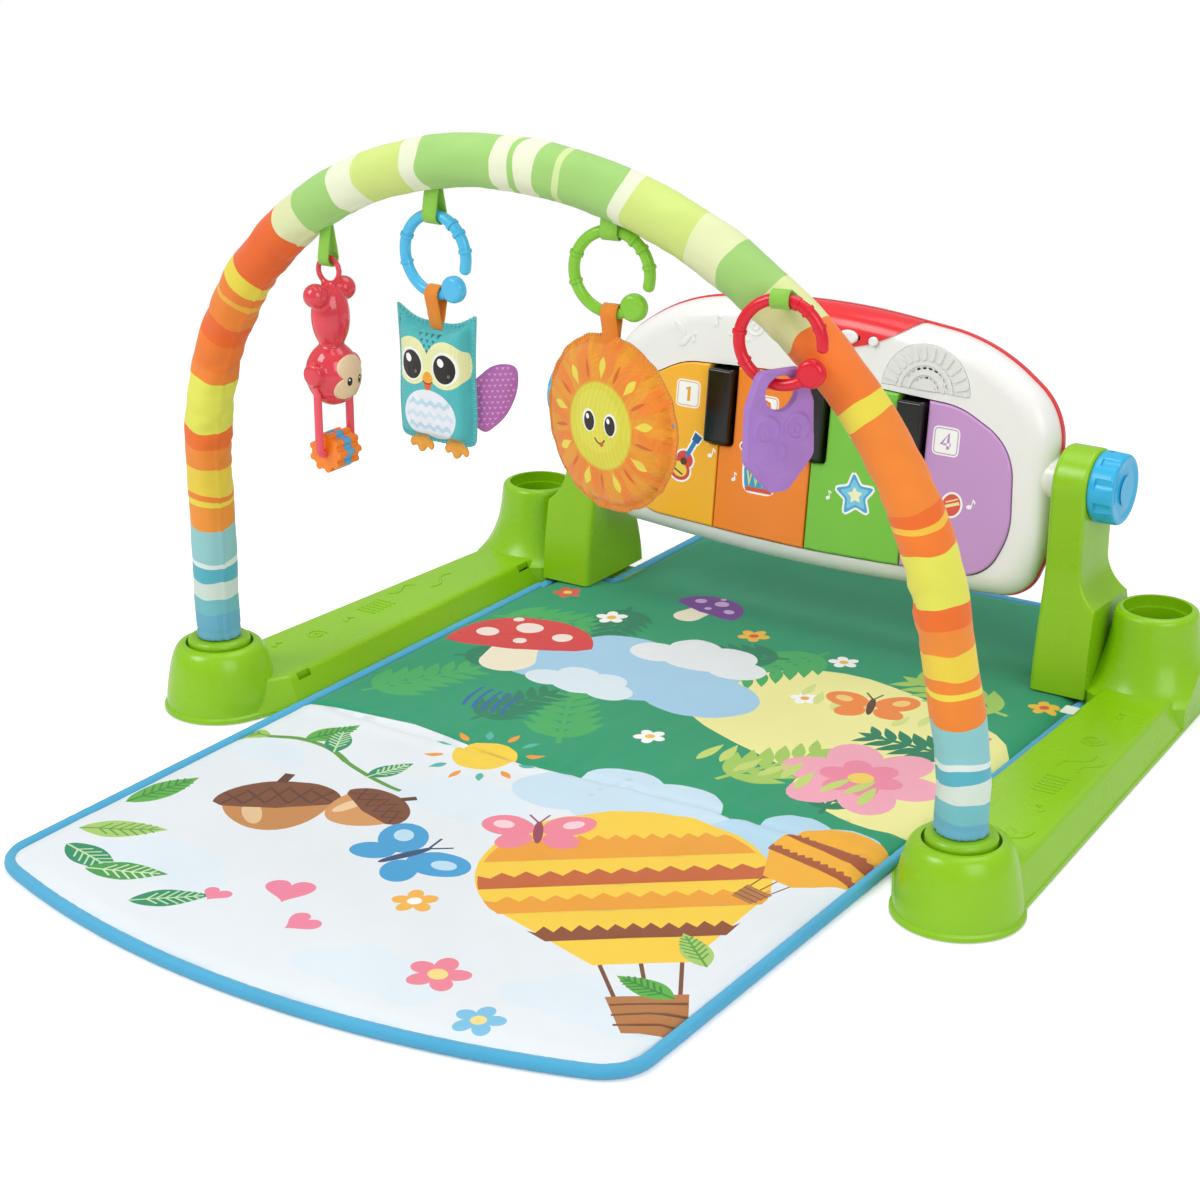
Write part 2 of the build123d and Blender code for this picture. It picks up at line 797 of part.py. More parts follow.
with BuildPart() as speaker:
    with BuildSketch(panel_plane.offset(speaker_front)):
        with Locations(speaker_place):
            Circle(speaker_radius)
    extrude(amount=-3)
    with BuildSketch(panel_plane.offset(speaker_front - 3)):
        with Locations(speaker_place):
            Circle(speaker_radius - 1.5)
    extrude(amount=-5, taper=25)
    with BuildSketch(panel_plane.offset(speaker_front - 8)):
        with Locations(speaker_place):
            Circle(7)
    extrude(amount=-5)
save(speaker.part, "speaker")

# ---------------------------------------------------------------- keys and controls

hinge_lug = (4, 26, 11)
lug_gap = 0.05


def hinge_lugs(places):
    """Ears behind the top of a key, bored for the rod."""
    with BuildPart() as lugs:
        with BuildSketch(panel_plane.offset(key_rod_w - 4)):
            with Locations(*[(x, key_rod_v + 4 - hinge_lug[1] / 2) for x in places]):
                Rectangle(hinge_lug[0], hinge_lug[1])
        extrude(amount=hinge_lug[2])
        with Locations(panel_plane * Location((0, key_rod_v, key_rod_w), (0, 90, 0))):
            Cylinder(key_rod_radius + lug_gap, 500, mode=Mode.SUBTRACT)
    return lugs.part


key_lugs = [
    [key_pitch * share for share in pair]
    for pair in ((-1.51, -1.26), (-0.74, -0.26), (0.26, 0.74), (1.26, 1.51))
]
for number in range(4):
    low = -200 if number == 0 else key_pitch * (number - 2) + key_gap / 2
    high = 200 if number == 3 else key_pitch * (number - 1) - key_gap / 2
    with BuildSketch(Plane.XY) as key_face:
        add(key_field)
        with Locations(((low + high) / 2, 0)):
            Rectangle(high - low, 300, mode=Mode.INTERSECT)
        with Locations(*[(key_pitch * n, black_key_foot + 50) for n in (-1, 0, 1)]):
            RectangleRounded(black_key_width + 1.8, 101.8, 4, mode=Mode.SUBTRACT)
    with BuildPart() as key:
        with BuildSketch(panel_plane.offset(shell_depth + key_stand - key_depth)):
            add(key_face.sketch)
        extrude(amount=key_depth)
        fillet(key.faces().sort_by(panel_front)[-1].edges(), 1.8)
        with BuildSketch(panel_plane.offset(shell_depth + key_stand - key_depth)):
            offset(key_face.sketch, amount=-2.2)
        extrude(amount=key_depth - 2.4, mode=Mode.SUBTRACT)
        with BuildSketch(panel_plane.offset(shell_depth + key_stand - key_depth)):
            with Locations((key_pitch * (number - 1.5), -62)):
                Circle(3)
        extrude(amount=key_depth - 2)
        add(hinge_lugs(key_lugs[number]))
    save(key.part, f"key_{number + 1}")

for number, top in zip((-1, 0, 1), black_key_tops):
    middle = (key_pitch * number, (top + black_key_foot) / 2)
    length = top - black_key_foot
    with BuildPart() as black_key:
        with BuildSketch(panel_plane.offset(shell_depth - 8)):
            with Locations(middle):
                RectangleRounded(black_key_width, length, 3.5)
        extrude(amount=8 + black_key_stand, taper=5)
        fillet(black_key.faces().sort_by(panel_front)[-1].edges(), 2.2)
        with BuildSketch(panel_plane.offset(shell_depth - 8)):
            with Locations(middle):
                Rectangle(black_key_width - 6, length - 6)
        extrude(amount=5 + black_key_stand, taper=5, mode=Mode.SUBTRACT)
        add(hinge_lugs((middle[0] - 6, middle[0] + 6)))
    save(black_key.part, f"black_key_{number + 2}")

with BuildPart() as mode_slider:
    with BuildSketch(panel_plane.offset(shell_depth - 4)):
        with Locations(slider_place):
            SlotOverall(slider_slot[0] - 7, slider_slot[1] - 0.8)
    extrude(amount=6)
    with BuildSketch(panel_plane.offset(shell_depth + cover_thickness + 0.2)):
        with Locations(slider_place):
            Ellipse(8.5, 5.5)
    extrude(amount=3)
    fillet(mode_slider.faces().sort_by(panel_front)[-1].edges(), 2)
save(mode_slider.part, "mode_slider")

with BuildPart() as mode_button:
    with BuildSketch(panel_plane.offset(shell_depth - 6)):
        with Locations(button_place):
            Circle(button_radius)
    extrude(amount=6 + cover_thickness + 2.4)
    fillet(mode_button.faces().sort_by(panel_front)[-1].edges(), 1.6)
save(mode_button.part, "mode_button")

# ---------------------------------------------------------------- knobs

knob_radius = 28.0
knob_x = (post_outer + 0.6, post_outer + 21)
grip_count = 9

with BuildPart() as right_knob:
    with BuildSketch(pivot_plane):
        with BuildLine():
            Polyline(
                (knob_x[0], 0),
                (knob_x[0], knob_radius - 1),
                (knob_x[0] + 2, knob_radius),
                (knob_x[1] - 4, knob_radius - 0.5),
            )
            Spline(
                (knob_x[1] - 4, knob_radius - 0.5),
                (knob_x[1] - 0.6, knob_radius - 5),
                (knob_x[1] - 1.5, knob_radius - 9),
                (knob_x[1], 10),
                (knob_x[1] + 0.5, 0),
                tangents=((1, 0), (0, -1)),
            )
            Line((knob_x[1] + 0.5, 0), (knob_x[0], 0))
        make_face()
    revolve(axis=pivot_axis)
    # finger grips round the rim
    with BuildSketch(Plane(origin=(knob_x[0] + 5, pivot_y, pivot_z), x_dir=(0, 1, 0), z_dir=(1, 0, 0))):
        with PolarLocations(knob_radius + 7.2, grip_count):
            Circle(9)
    extrude(amount=30, mode=Mode.SUBTRACT)
    # hollow round the boss that takes the axle end
    with BuildSketch(Plane(origin=(knob_x[0], pivot_y, pivot_z), x_dir=(0, 1, 0), z_dir=(1, 0, 0))):
        Circle(knob_radius - 6)
        Circle(11, mode=Mode.SUBTRACT)
    extrude(amount=14, mode=Mode.SUBTRACT)
    with BuildSketch(Plane(origin=(knob_x[0], pivot_y, pivot_z), x_dir=(0, 1, 0), z_dir=(1, 0, 0))):
        Circle(knob_seat_radius + running_gap)
    extrude(amount=15, mode=Mode.SUBTRACT)
save(right_knob.part, "right_knob")

with BuildPart() as left_knob:
    mirror(right_knob.part, about=Plane.YZ)
save(left_knob.part, "left_knob")

# ---------------------------------------------------------------- arch

# The arch lies in a plane through the two kinks, leaning to the front.
arch_plane = Plane(
    origin=(0, 0, leg_kink_z),
    x_dir=(1, 0, 0),
    z_dir=(0, -cos(radians(arch_lean)), -sin(radians(arch_lean))),
)
leg_top = (
    foot_half_span - leg_straight * sin(radians(leg_tilt)),
    leg_straight * cos(radians(leg_tilt)),
)
shoulder_centre = (
    leg_top[0] - shoulder_radius * cos(radians(leg_tilt)),
    leg_top[1] - shoulder_radius * sin(radians(leg_tilt)),
)
shoulder_top = (
    shoulder_centre[0] + shoulder_radius * cos(radians(shoulder_end)),
    shoulder_centre[1] + shoulder_radius * sin(radians(shoulder_end)),
)
crown_radius = shoulder_top[0] / cos(radians(shoulder_end))
crown_centre_v = shoulder_top[1] - crown_radius * sin(radians(shoulder_end))
leg_bend_radius = 220.0
tube_foot_z = foot_height - 24


def on_arch(x):
    """Point of the crown's centre line at x, in the object's frame."""
    v = crown_centre_v + sqrt(crown_radius**2 - x**2)
    return Vector(x, -v * sin(radians(arch_lean)), leg_kink_z + v * cos(radians(arch_lean)))


def arch_path(foot_z, crown_x):
    """Centre line of the right half, from a height in the foot up to a place on the crown."""
    kink = Vector(foot_half_span, 0, leg_kink_z)
    leg_end = arch_plane.from_local_coords(Vector(*leg_top, 0))
    rise = (leg_end - kink).normalized()
    turn = radians(rise.get_angle(Vector(0, 0, 1)))
    tangent = leg_bend_radius * tan(turn / 2)
    bend_low = kink - Vector(0, 0, tangent)
    bend_high = kink + rise * tangent
    middle = (bend_low + bend_high) * 0.5
    inward = (middle - kink).normalized() * (leg_bend_radius * (1 / cos(turn / 2) - 1))
    mid_angle = radians((leg_tilt + shoulder_end) / 2)
    shoulder_mid = (
        shoulder_centre[0] + shoulder_radius * cos(mid_angle),
        shoulder_centre[1] + shoulder_radius * sin(mid_angle),
    )
    crown_mid_x = (shoulder_top[0] + crown_x) / 2
    with BuildLine() as path:
        Line((foot_half_span, 0, foot_z), bend_low)
        ThreePointArc(bend_low, kink + inward, bend_high)
        Line(bend_high, leg_end)
        ThreePointArc(
            leg_end,
            arch_plane.from_local_coords(Vector(*shoulder_mid, 0)),
            arch_plane.from_local_coords(Vector(*shoulder_top, 0)),
        )
        ThreePointArc(
            arch_plane.from_local_coords(Vector(*shoulder_top, 0)),
            on_arch(crown_mid_x),
            on_arch(crown_x),
        )
    return path.wire()


def tube_along(path, outer, inner):
    """Round tube swept along a path that starts straight up."""
    with BuildPart() as tube:
        with BuildSketch(Plane(origin=path @ 0, x_dir=(1, 0, 0), z_dir=(0, 0, 1))):
            Circle(outer)
            if inner:
                Circle(inner, mode=Mode.SUBTRACT)
        sweep(path=path)
    return tube.part


tube_path = arch_path(tube_foot_z, 0.2)
with BuildPart() as right_arch_tube:
    add(tube_along(tube_path, tube_radius, tube_radius - tube_wall))
save(right_arch_tube.part, "right_arch_tube")
with BuildPart() as left_arch_tube:
    mirror(right_arch_tube.part, about=Plane.YZ)
save(left_arch_tube.part, "left_arch_tube")

# The joiner is a bent peg inside both tubes at the crown.
joiner_ends = [on_arch(x) for x in (-joiner_length / 2, 0, joiner_length / 2)]
with BuildPart() as arch_joiner:
    with BuildLine() as joiner_path:
        ThreePointArc(*joiner_ends)
    with BuildSketch(Plane(origin=joiner_path.line @ 0, z_dir=joiner_path.line % 0)):
        Circle(tube_radius - tube_wall - 0.05)
    sweep(path=joiner_path.line)
save(arch_joiner.part, "arch_joiner")

sleeve_foot_z = foot_height + plug_cap_height + 0.4
sleeve_path = arch_path(sleeve_foot_z, 0)
sleeve_half = tube_along(sleeve_path, sleeve_radius, tube_radius + 0.15)
with BuildPart() as arch_sleeve:
    add(sleeve_half)
    mirror(sleeve_half, about=Plane.YZ)
save(arch_sleeve.part, "arch_sleeve")

# Each plug stands in its foot socket and holds a tube end.
with BuildPart() as right_arch_plug:
    with BuildSketch(Plane.XY.offset(socket_floor + 2)):
        with Locations((foot_half_span, 0)):
            Circle(socket_radius - slide_gap)
    extrude(amount=foot_height + plug_cap_height - socket_floor - 2)
    fillet(right_arch_plug.faces().sort_by(Axis.Z)[-1].edges(), 4)
    chamfer(right_arch_plug.faces().sort_by(Axis.Z)[0].edges(), 1.5)
    with BuildSketch(Plane.XY.offset(tube_foot_z)):
        with Locations((foot_half_span, 0)):
            Circle(tube_radius)
    extrude(amount=60, mode=Mode.SUBTRACT)
    with BuildSketch(Plane.XY.offset(socket_floor + 2)):
        with Locations((foot_half_span, 0)):
            Circle(socket_radius - 4)
            Circle(tube_radius + wall, mode=Mode.SUBTRACT)
    extrude(amount=foot_height - socket_floor - 8, mode=Mode.SUBTRACT)
save(right_arch_plug.part, "right_arch_plug")
with BuildPart() as left_arch_plug:
    mirror(right_arch_plug.part, about=Plane.YZ)
save(left_arch_plug.part, "left_arch_plug")

# ---------------------------------------------------------------- hanging loops


def teardrop_strap(plane, root, half_width):
    """Strap folded round a wire at the plane's origin and sewn together at the root."""
    side = Plane(origin=plane.origin, x_dir=plane.z_dir, z_dir=-plane.x_dir)
    with BuildPart() as strap:
        with BuildSketch(side.offset(-half_width)):
            Circle(strap_bore + strap_thickness)
            with Locations(root):
                Circle(strap_thickness)
            make_hull()
        extrude(amount=2 * half_width)
        with BuildSketch(side.offset(-half_width)):
            Circle(strap_bore)
            with Locations(root):
                Circle(strap_thickness / 4)
            make_hull()
        extrude(amount=2 * half_width, mode=Mode.SUBTRACT)
    return strap.part


sleeve_core = tube_along(sleeve_path, sleeve_radius + 0.05, 0)
left_sleeve_core = mirror(sleeve_core, about=Plane.YZ)
hook_z = on_arch(hang_x[0]).Z - hook_drop
hook_plane = front_plane(hang_x[0], on_arch(hang_x[0]).Y, hook_z)
wire_tops = [on_arch(x) - Vector(0, 0, drop) for x, drop in zip(hang_x[1:], ring_drop)]
wire_tops.append(on_arch(red_ring_x) + Vector(0, -red_ring_offset[0], red_ring_offset[1]))
wire_planes = [front_plane(*tuple(top), turn) for top, turn in zip(wire_tops, ring_turn)]

# Three loops hang under the sleeve, and the fourth comes over its front for the red ring.
loop_layout = (
    (hook_plane, (0, 27), 4.5, left_sleeve_core),
    (wire_planes[0], (0, 27), strap_width / 2, left_sleeve_core),
    (wire_planes[1], (0, 20), strap_width / 2, sleeve_core),
    (wire_planes[2], red_strap_root, strap_width / 2, sleeve_core),
)
for number, (plane, root, half_width, core) in enumerate(loop_layout, start=1):
    with BuildPart() as hang_loop:
        add(teardrop_strap(plane, root, half_width))
        add(core, mode=Mode.SUBTRACT)
    save(hang_loop.part, f"hang_loop_{number}")

# ---------------------------------------------------------------- toy rings


ring_names = ("blue", "green", "red")
for colour, plane, roll in zip(ring_names, wire_planes, ring_roll):
    hub = Plane(
        origin=plane.origin - Vector(0, 0, ring_mean_radius),
        x_dir=plane.x_dir,
        z_dir=plane.z_dir,
    )
    ball_angle = radians(ring_ball_angle + roll)
    ball_place = Vector(ring_mean_radius * cos(ball_angle), ring_mean_radius * sin(ball_angle))
    with BuildPart() as ball:
        with Locations(hub * Location(ball_place)):
            Cylinder(ball_radius, ball_thickness)
        fillet(ball.edges(), ball_rounding)
    with BuildPart() as ring:
        with BuildLine(hub) as wire:
            CenterArc((0, 0), ring_mean_radius, ring_open_angle + roll, ring_sweep)
        with BuildSketch(Plane(origin=wire.line @ 0, z_dir=wire.line % 0)):
            Circle(ring_wire_radius)
        sweep(path=wire.line)
        end_rims = ring.edges().filter_by(lambda e: e.length < 7 * ring_wire_radius)
        fillet(end_rims.sort_by_distance(wire.line @ 0)[0], ring_wire_radius - 0.6)
        for angle in collar_angles:
            share = (angle - ring_open_angle) / ring_sweep
            with Locations(Plane(origin=wire.line @ share, z_dir=wire.line % share)):
                Cylinder(ring_wire_radius + 0.8, collar_width)
        add(ball.part)
    save(ring.part, f"ring_{colour}")

# ---------------------------------------------------------------- owl

wire_bottoms = [plane.origin - Vector(0, 0, 2 * ring_mean_radius) for plane in wire_planes]
bottom_planes = [
    Plane(origin=bottom, x_dir=plane.x_dir, z_dir=plane.z_dir)
    for bottom, plane in zip(wire_bottoms, wire_planes)
]
owl_plane = front_plane(
    wire_bottoms[0].X, wire_bottoms[0].Y, wire_bottoms[0].Z - owl_drop, owl_turn
)
half_w, half_h = owl_width / 2, owl_height / 2

with BuildPart() as owl_body:
    with BuildSketch(owl_plane):
        with BuildLine():
            FilletPolyline(
                (half_w - 14, half_h - 5),
                (half_w, half_h + 3),
                (half_w - 1, -half_h + 8),
                (half_w - 10, -half_h),
                (-half_w + 10, -half_h),
                (-half_w + 1, -half_h + 8),
                (-half_w, half_h + 3),
                (-half_w + 14, half_h - 5),
                radius=5,
                close=True,
            )
        make_face()
    extrude(amount=owl_thickness / 2, both=True)
    owl_ends = owl_body.faces().sort_by(Axis(owl_plane.origin, owl_plane.z_dir))
    fillet(owl_ends[0].edges() + owl_ends[-1].edges(), 4.5)
save(owl_body.part, "owl_body")

with BuildPart() as owl_tag:
    add(teardrop_strap(bottom_planes[0], (0, -22), tag_width / 2))
    add(owl_body.part, mode=Mode.SUBTRACT)
save(owl_tag.part, "owl_tag")

# Two flat pads swept back from the sides, and two feet under the body.
with BuildPart() as owl_wings:
    for side in (1, -1):
        root = owl_plane.from_local_coords(Vector(side * (half_w - 1.5), -10, -4))
        with BuildSketch(front_plane(root.X, root.Y, root.Z, owl_turn + side * wing_sweep)):
            with BuildLine():
                FilletPolyline(
                    (0, 12),
                    (side * 14, 24),
                    (side * 30, 22),
                    (side * 28, 2),
                    (side * 20, -16),
                    (side * 6, -26),
                    (0, -20),
                    radius=4,
                    close=True,
                )
            make_face()
        extrude(amount=wing_thickness / 2, both=True)
    add(owl_body.part, mode=Mode.SUBTRACT)
save(owl_wings.part, "owl_wings")

with BuildPart() as owl_feet:
    with BuildSketch(owl_plane.offset(-2.5)):
        with Locations((15, -half_h - 6), (-15, -half_h - 6)):
            RectangleRounded(22, 14, 6)
    extrude(amount=5)
    add(owl_body.part, mode=Mode.SUBTRACT)
save(owl_feet.part, "owl_feet")

# ---------------------------------------------------------------- sun

sun_plane = front_plane(
    wire_bottoms[1].X,
    wire_bottoms[1].Y,
    wire_bottoms[1].Z - sun_drop - sun_radius,
    sun_turn,
)
with BuildPart() as sun_cushion:
    with BuildSketch(sun_plane):
        Circle(sun_radius)
    extrude(amount=sun_thickness / 2, both=True)
    fillet(sun_cushion.edges(), sun_thickness / 2 - 0.5)
save(sun_cushion.part, "sun_cushion")

with BuildPart() as sun_tag:
    add(teardrop_strap(bottom_planes[1], (0, -sun_drop - 6), tag_width / 2))
    add(sun_cushion.part, mode=Mode.SUBTRACT)
save(sun_tag.part, "sun_tag")

# ---------------------------------------------------------------- teether

teether_plane = front_plane(*tuple(wire_bottoms[2]), teether_turn)
with BuildPart() as teether:
    with BuildSketch(teether_plane):
        with BuildLine():
            FilletPolyline(
                (-15, 10),
                (15, 10),
                (23, -12),
                (24, -46),
                (6, -67),
                (-6, -67),
                (-24, -46),
                (-23, -12),
                radius=7,
                close=True,
            )
        make_face()
    extrude(amount=teether_thickness / 2, both=True)
    # two raised rings and a nose on each side, to chew on
    with BuildSketch(teether_plane):
        with Locations((-10.5, -27), (10.5, -27)):
            Circle(9)
            Circle(6.5, mode=Mode.SUBTRACT)
        with Locations((0, -41)):
            Ellipse(3.2, 5)
    extrude(amount=teether_thickness / 2 + 1.2, both=True)
    # the eye that the ring runs through
    with BuildSketch(teether_plane):
        with Locations((0, -eye_radius + ring_wire_radius + 2.6)):
            Circle(eye_radius)
    extrude(amount=20, both=True, mode=Mode.SUBTRACT)
save(teether.part, "teether")

# ---------------------------------------------------------------- rattle

# It hangs head down from its tail ring and faces +X, so its width runs along Y.
rattle_x, rattle_y = hang_x[0], on_arch(hang_x[0]).Y
head_z = hook_z - head_drop
bead_z = head_z - bead_drop
along_y, up = (0, 1, 0), (0, 0, 1)

rattle_section = Plane(origin=(rattle_x, rattle_y, head_z), x_dir=along_y, z_dir=(1, 0, 0))
rattle_axis = Axis((rattle_x, rattle_y, head_z), up)
with BuildPart() as rattle_body:
    with BuildSketch(rattle_section):
        Ellipse(head_radius, head_half_height)
        with Locations((0, torso_rise)):
            Ellipse(torso_radius, torso_half_height)
        with Locations((-50, 0)):
            Rectangle(100, 300, mode=Mode.SUBTRACT)
    revolve(axis=rattle_axis)
    with Locations((rattle_x, rattle_y - 15, head_z + 57), (rattle_x, rattle_y + 15, head_z + 57)):
        Sphere(8.7)
    with Locations((rattle_x, rattle_y, hook_z - 2 * tail_radius - 3)):
        Cylinder(3, 8)
    with Locations(Plane(origin=(rattle_x, rattle_y, hook_z - tail_radius), z_dir=along_y)):
        Torus(tail_radius, tail_wire)
    # ears, through the head
    with Locations(Plane(origin=(rattle_x, rattle_y, head_z + 3), z_dir=along_y)):
        Cylinder(ear_radius, 2 * head_radius + 9)
    ear_rims = rattle_body.edges().filter_by(GeomType.CIRCLE).group_by(Axis.Y)
    fillet(ear_rims[0] + ear_rims[-1], 2)
save(rattle_body.part, "rattle_body")

# The face is a thin plate that lies on the head.
with BuildPart() as rattle_face:
    with BuildSketch(rattle_section):
        Ellipse(head_radius + face_thickness, head_half_height + face_thickness)
        with Locations((-50, 0)):
            Rectangle(100, 300, mode=Mode.SUBTRACT)
    revolve(axis=rattle_axis)
    with BuildSketch(rattle_section.offset(ear_radius + 1)):
        with Locations((-5.5, -7), (5.5, -7)):
            Circle(8)
        with Locations((0, 6)):
            Ellipse(12, 9)
    extrude(amount=30, mode=Mode.INTERSECT)
    add(rattle_body.part, mode=Mode.SUBTRACT)
save(rattle_face.part, "rattle_face")

with BuildPart() as rattle_arm_loop:
    with BuildLine(Plane(origin=(rattle_x, rattle_y, 0), x_dir=along_y, z_dir=(1, 0, 0))) as arms:
        FilletPolyline(
            (-arm_half, head_z - 2),
            (-arm_half, bead_z),
            (arm_half, bead_z),
            (arm_half, head_z - 2),
            radius=5,
        )
    with BuildSketch(Plane(origin=arms.wire() @ 0, z_dir=arms.wire() % 0)):
        Circle(arm_radius)
    sweep(path=arms.wire())
    add(rattle_body.part, mode=Mode.SUBTRACT)
save(rattle_arm_loop.part, "rattle_arm_loop")

for number in range(3):
    bead_y = rattle_y + (number - 1) * bead_pitch - bead_width / 2
    with BuildPart() as bead:
        with BuildSketch(Plane(origin=(rattle_x, bead_y, bead_z), x_dir=(1, 0, 0), z_dir=along_y)):
            Circle(bead_radius - 2.4)
            with PolarLocations(bead_radius - 2.6, 9):
                Circle(2.6)
            Circle(arm_radius + running_gap, mode=Mode.SUBTRACT)
        extrude(amount=bead_width)
    save(bead.part, f"rattle_bead_{number + 1}")
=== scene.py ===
import json
import math
import random

import bmesh
import bpy
import numpy as np
from mathutils import Matrix, Vector, noise
from mathutils.bvhtree import BVHTree
from mathutils.geometry import delaunay_2d_cdt

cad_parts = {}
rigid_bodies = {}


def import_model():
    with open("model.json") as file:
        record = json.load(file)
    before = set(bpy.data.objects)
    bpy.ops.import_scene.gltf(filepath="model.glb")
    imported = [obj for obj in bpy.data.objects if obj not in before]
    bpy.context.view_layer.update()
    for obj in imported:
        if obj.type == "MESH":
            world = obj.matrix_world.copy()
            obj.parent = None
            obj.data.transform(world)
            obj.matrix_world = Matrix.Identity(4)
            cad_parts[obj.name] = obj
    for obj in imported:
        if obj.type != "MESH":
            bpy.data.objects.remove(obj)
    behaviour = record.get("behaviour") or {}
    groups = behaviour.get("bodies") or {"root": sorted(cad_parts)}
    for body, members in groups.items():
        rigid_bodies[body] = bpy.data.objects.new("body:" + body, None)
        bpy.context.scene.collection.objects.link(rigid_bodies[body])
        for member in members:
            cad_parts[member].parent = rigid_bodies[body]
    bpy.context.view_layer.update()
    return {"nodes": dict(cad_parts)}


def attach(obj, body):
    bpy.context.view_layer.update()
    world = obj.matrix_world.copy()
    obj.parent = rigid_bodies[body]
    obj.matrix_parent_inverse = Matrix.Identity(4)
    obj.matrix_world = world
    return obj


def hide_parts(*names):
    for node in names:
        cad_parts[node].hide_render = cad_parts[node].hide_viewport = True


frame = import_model()
nodes = frame["nodes"]
print("model loaded,", len(nodes), "nodes")

mm = 0.001
random.seed(7)

# camera, where someone stands at the open end's right hand corner
cameraSettings = {
    "place": (0.9242, -1.3399, 0.7575),
    "tilt": 69.56,
    "turn": 33.512,
    "lens": 75.24,
}
bpy.ops.object.camera_add(
    location=cameraSettings["place"],
    rotation=(math.radians(cameraSettings["tilt"]), 0, math.radians(cameraSettings["turn"])),
)
camera = bpy.context.object
camera.name = "viewCamera"
camera.data.lens = cameraSettings["lens"]
camera.data.sensor_width = 36
bpy.context.scene.camera = camera


def hexToLinear(code, alpha=1.0):
    parts = [int(code[i : i + 2], 16) / 255 for i in (1, 3, 5)]
    return tuple(p / 12.92 if p <= 0.04045 else ((p + 0.055) / 1.055) ** 2.4 for p in parts) + (alpha,)


def pickNone():
    if bpy.context.mode != "OBJECT":
        bpy.ops.object.mode_set(mode="OBJECT")
    bpy.ops.object.select_all(action="DESELECT")


def pickOnly(piece):
    pickNone()
    piece.select_set(True)
    bpy.context.view_layer.objects.active = piece


def applyAll(piece):
    # every modifier becomes real mesh, then the place goes into the mesh
    pickOnly(piece)
    for modifier in list(piece.modifiers):
        bpy.ops.object.modifier_apply(modifier=modifier.name)
    bpy.ops.object.transform_apply(location=True, rotation=True, scale=True)


def smooth(piece, angle=40):
    pickOnly(piece)
    bpy.ops.object.shade_smooth_by_angle(angle=math.radians(angle))


# materials: one function adds a node, the rest build on it


def addNode(tree, kind, at=(0, 0), settings=None, **values):
    node = tree.nodes.new("ShaderNode" + kind)
    node.location = at
    for name, value in (settings or {}).items():
        setattr(node, name, value)
    for name, value in values.items():
        key = int(name[1:]) if name[0] == "i" and name[1:].isdigit() else name.replace("_", " ")
        if isinstance(value, bpy.types.NodeSocket):
            tree.links.new(value, node.inputs[key])
        else:
            node.inputs[key].default_value = value
    return node


def newMaterial(name, **shaderValues):
    material = bpy.data.materials.new(name)
    material.use_nodes = True
    tree = material.node_tree
    tree.nodes.clear()
    out = addNode(tree, "OutputMaterial", (600, 0))
    shader = addNode(tree, "BsdfPrincipled", (300, 0), **shaderValues)
    tree.links.new(shader.outputs[0], out.inputs[0])
    return material, tree, shader


def shiftedColour(tree, colour, scale, amount, coords):
    # cloudy change of tone, as pigment and dust give
    cloud = addNode(tree, "TexNoise", (-500, 200), Vector=coords, Scale=scale, Detail=3.0)
    shift = addNode(tree, "MapRange", (-300, 200), Value=cloud.outputs[0], From_Min=0.3, From_Max=0.7,
                    To_Min=1 - amount, To_Max=1 + amount)
    tone = addNode(tree, "HueSaturation", (-100, 200), Value=shift.outputs[0], Color=colour)
    return tone.outputs[0]


def mouldedPlastic(name, code, gloss=0.3, tone=0.03, **shaderValues):
    # injection moulded ABS: smooth gloss with the faint orange peel of the tool
    material, tree, shader = newMaterial(name, IOR=1.5, **shaderValues)
    coords = addNode(tree, "TexCoord", (-900, 0)).outputs["Object"]
    tree.links.new(shiftedColour(tree, hexToLinear(code), 9.0, tone, coords), shader.inputs["Base Color"])
    patches = addNode(tree, "TexNoise", (-500, -100), Vector=coords, Scale=22.0, Detail=4.0)
    rough = addNode(tree, "MapRange", (-300, -100), Value=patches.outputs[0], From_Min=0.3, From_Max=0.7,
                    To_Min=gloss - 0.04, To_Max=gloss + 0.05)
    tree.links.new(rough.outputs[0], shader.inputs["Roughness"])
    peel = addNode(tree, "TexNoise", (-500, -400), Vector=coords, Scale=420.0, Detail=2.0)
    bump = addNode(tree, "Bump", (0, -400), Strength=0.06, Distance=0.0002, Height=peel.outputs[0])
    tree.links.new(bump.outputs[0], shader.inputs["Normal"])
    return material


def weaveHeight(tree, coords, pitch):
    # over and under threads of a plain weave, pitch in metres
    bands = []
    for axis in ("X", "Y"):
        wave = addNode(tree, "TexWave", (-700, -300 if axis == "X" else -500),
                       {"wave_type": "BANDS", "bands_direction": axis, "wave_profile": "SIN"},
                       Vector=coords, Scale=0.1 * math.pi / pitch, Distortion=0.0)
        bands.append(wave.outputs[1])
    mixed = addNode(tree, "Math", (-450, -400), {"operation": "MULTIPLY"}, i0=bands[0], i1=bands[1])
    return mixed.outputs[0]


